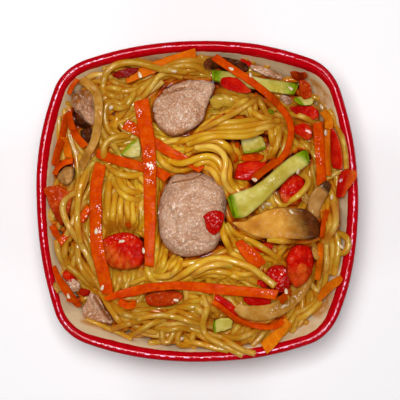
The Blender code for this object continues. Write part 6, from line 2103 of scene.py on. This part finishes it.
def make_core():
    phis = phi_samples(16, 14)
    n = len(phis)
    heights = np.linspace(7.5, 60, 106)
    walls = []
    for z in heights:
        f, d = wall_at(z)
        walls.append(np.array(section(f / 1000, d / 1000, phis, 0.0007)))
    walls = np.array(walls)
    edge = np.full(n, 10.0)
    for i in range(n):
        z_core = level(CORE, walls[:, i, 0], walls[:, i, 1]) * 1000
        under = np.nonzero(z_core <= heights)[0]
        edge[i] = heights[under[0]] if len(under) else heights[-1]
    def wall_point(i, z):
        return (np.interp(z, heights, walls[:, i, 0]), np.interp(z, heights, walls[:, i, 1]))
    rings = []
    for k in range(9):
        ring = []
        for i in range(n):
            z = 7.5 + (edge[i] - 7.5) * k / 8
            x, y = wall_point(i, z)
            ring.append((x, y, z / 1000))
        rings.append(ring)
    brim = np.array(rings[-1])
    for q in np.linspace(0.97, 0.03, 44):
        x, y = brim[:, 0] * q, brim[:, 1] * q
        z = np.minimum(level(CORE, x, y), 1.0)
        t = smoothstep(q, 0.9, 0.99)
        z = z * (1 - t) + brim[:, 2] * t
        rings.append(np.column_stack([x, y, np.maximum(z, 0.008)]))
    verts, tris = loft([np.array(r) for r in rings], (0, 0, 0.0075), (0, 0, float(level(CORE, 0, 0))))
    make("noodles_core", verts, outward(verts, tris), "core", "noodles", ["noodles"])


# how far the rim's outer edge and the end of the red glaze stand off the plain outline, by direction, in units
RIM_OUT = [1.0, 0.8, 1.0, 0.75, 0.5, 1.25, 1.75, 2.1, 0.9, 0.25, 0, 0, -0.25, -0.5, 1.4, 2.5, 2.75, 2.2, 1.0, 0.5, 0.5, 0.5,
           0.6, 0.4, 1.1, 1.25, 0.9, 1.0, 1.0, 1.8, 1.75, 1.4, 0.2, 1.6, 1.5, 1.0]
RED_END = [-0.6, -0.6, -0.4, 0, -0.2, -2.2, -2.2, -1.4, -1.2, -1.1, -1.4, -2.2, -2.2, -1.8, -0.3, -0.3, 0.4, 0.8, 1.0, 1.6,
           1.8, 1.6, 2.2, 0.2, -0.9, -0.2, 0.3, 0.6, 1.0, 1.0, 1.0, 0.8, -1.5, -0.5, -0.7, -0.8]
CREST = [(0.0, 59.9), (-0.25, 60.85), (-0.8, 61.55), (-1.55, 61.93), (-2.25, 62.0), (-2.95, 61.85), (-3.6, 61.4),
         (-4.15, 60.7), (-4.5, 59.8)]


def make_bowl():
    phis = phi_samples(26, 26)
    n = len(phis)
    rim = [(FLAT_HALF * 1000 + i, DIAG_HALF * 1000 + i, z) for i, z in CREST]
    knots = np.array(OUTER[2:] + rim + INNER, float)
    s = np.concatenate([[0], np.cumsum(np.linalg.norm(np.diff(knots[:, [0, 2]], axis=0), axis=1))])
    dense_s = np.arange(0, s[-1], 0.25)
    dense = np.stack([np.interp(dense_s, s, knots[:, k]) for k in range(3)], axis=1)
    for _ in range(2):
        dense = np.stack([rolling(dense[:, k], 1, False) for k in range(3)], axis=1)
    border = s[len(OUTER) - 2 + 8]
    keep = [i for i in range(len(dense_s)) if i % 5 == 0 or abs(dense_s[i] - border) < 9.5]
    rows = dense[keep]
    where = dense_s[keep] - border
    foot = np.array([(24.4, 25.4, 1.6), (24.9, 25.9, 1.2), (25.1, 26.1, 0.4), (25.7, 26.7, 0.02), (26.6, 27.6, 0.0),
                     (28.8, 29.8, 0.0), (29.7, 30.7, 0.05), (30.2, 31.2, 0.5), (30.5, 31.5, 1.5), (30.7, 31.8, 2.6)])
    rings, inside = [], []
    for f, d, z in foot:
        rings.append(np.array([(x, y, z / 1000) for x, y in section(f / 1000, d / 1000, phis)]))
        inside.append(-60.0)
    for (f, d, z), w in zip(rows, where):
        rings.append(np.array([(x, y, z / 1000) for x, y in section(f / 1000, d / 1000, phis)]))
        inside.append(w)
    verts, tris = loft(rings, (0, 0, RECESS_Z / 1000), (0, 0, FLOOR_Z / 1000))
    inner = np.concatenate([np.repeat(inside, n), [-60.0, 90.0]])
    heading = np.degrees(np.arctan2(verts[:, 1], verts[:, 0])) % 360
    marks = np.arange(0, 360, 10.0)
    off = np.interp(heading, marks, RIM_OUT, period=360)
    end = np.interp(heading, marks, RED_END, period=360)
    # the rim is drawn out, fading down the outside and gone a little way down the inside
    far = smoothstep(verts[:, 2] * 1000, 25, 59) * smoothstep(inner, 2.0, -4.6)
    pull = off * far + np.clip(end, -9, 0) * 0.35 * smoothstep(np.abs(inner), 4.5, 0.5)
    radius = np.hypot(verts[:, 0], verts[:, 1])
    grow = 1 + pull * UNIT / np.maximum(radius, 0.01)
    verts = np.column_stack([verts[:, 0] * grow, verts[:, 1] * grow, verts[:, 2]])
    inner = inner + end * 0.47 * np.where(end < 0, 1.3, 1.0)
    u, v = to_units(verts)
    stain = 0.9 * smoothstep(to_line(u, v, [(306, 80), (316, 88), (326, 100)]), 9, 3)
    stain = np.maximum(stain, 0.7 * smoothstep(to_line(u, v, [(82, 321), (104, 328), (132, 339)]), 4.0, 1.0))
    stain = np.maximum(stain, 0.9 * smoothstep(to_line(u, v, [(318, 314), (326, 304), (330, 296)]), 7, 2))
    stain = np.maximum(stain, 0.9 * smoothstep(to_line(u, v, [(52, 266), (58, 278), (62, 287)]), 2.6, 1.0))
    stain = np.maximum(stain, 0.35 * smoothstep(to_line(u, v, [(290, 345), (310, 330)]), 12, 3))
    # the stain colour in a narrow band where the heap meets the wall
    depth = (dome(verts[:, 0], verts[:, 1]) - verts[:, 2]) * 1000
    stain = np.maximum(stain, 0.8 * smoothstep(depth, -1.6, 0.8))
    stain = np.where(inner > 0.2, stain, 0)
    make("bowl_glazed", verts, outward(verts, tris), "bowl", "bowl_glaze", ["bowl"], inside=inner, stain=stain)


def make_stage():
    me = bpy.data.meshes.new("floor")
    bm = bmesh.new()
    bmesh.ops.create_grid(bm, x_segments=8, y_segments=8, size=3.0)
    bm.to_mesh(me)
    bm.free()
    p = Paint("floor_pale")
    colour = p.ramp(p.noise(3.0, 2), (0.3, (0.965, 0.965, 0.965)), (0.7, (0.985, 0.985, 0.985)))
    p.set(Roughness=0.8)
    me.materials.append(p.finish(colour))
    floor = bpy.data.objects.new("floor", me)
    bpy.context.scene.collection.objects.link(floor)

    world = bpy.data.worlds.new("studio")
    world.use_nodes = True
    back = world.node_tree.nodes["Background"]
    back.inputs[0].default_value = (1.0, 1.0, 1.0, 1)
    back.inputs[1].default_value = 0.05
    bpy.context.scene.world = world

    def area(name, size, power, place_at, look, colour=(1, 1, 1)):
        light = bpy.data.lights.new(name, "AREA")
        light.shape = "SQUARE"
        light.size = size
        light.energy = power
        light.color = colour
        obj = bpy.data.objects.new(name, light)
        bpy.context.scene.collection.objects.link(obj)
        obj.location = place_at
        from mathutils import Vector
        d = Vector(look) - Vector(place_at)
        obj.rotation_euler = d.to_track_quat("-Z", "Y").to_euler()
        return obj

    area("soft_left_back", 0.20, 1.15, (-0.46, 0.46, 0.72), (0, 0, 0.05))
    area("soft_right_back", 0.20, 0.86, (0.46, 0.46, 0.72), (0, 0, 0.05))
    area("soft_left_front", 0.20, 0.66, (-0.46, -0.46, 0.72), (0, 0, 0.05))
    area("soft_right_front", 0.20, 0.52, (0.46, -0.46, 0.72), (0, 0, 0.05))
    area("near_eye", 0.20, 5.9, (-0.03, 0.062, 0.87), (0, 0, 0.06), (0.985, 0.988, 1.0))

    cam = bpy.data.cameras.new("camera")
    cam.type = "PERSP"
    cam.sensor_fit = "HORIZONTAL"
    cam.sensor_width = 36.0
    cam.lens = 36.0 / (2 * 0.125)
    cam.clip_start, cam.clip_end = 0.01, 20
    eye = bpy.data.objects.new("camera", cam)
    bpy.context.scene.collection.objects.link(eye)
    eye.location = ((200 - CU) * UNIT, (CV - 200) * UNIT, RIM_Z + EYE)
    eye.rotation_euler = (0, 0, 0)
    bpy.context.scene.camera = eye
    bpy.context.scene.view_settings.view_transform = "Standard"
    bpy.context.scene.view_settings.look = "None"


make_materials()
lay_all()
seed_v, seed_t, seed_s = seed_mesh()
make_bowl()
make_core()
make_noodles()
make_toppings()
make("seeds", seed_v, seed_t, "sesame", "sesame", mask=seed_s * 0.3, shade=np.zeros(len(seed_v)),
     ridge=np.zeros(len(seed_v)))
make_stage()
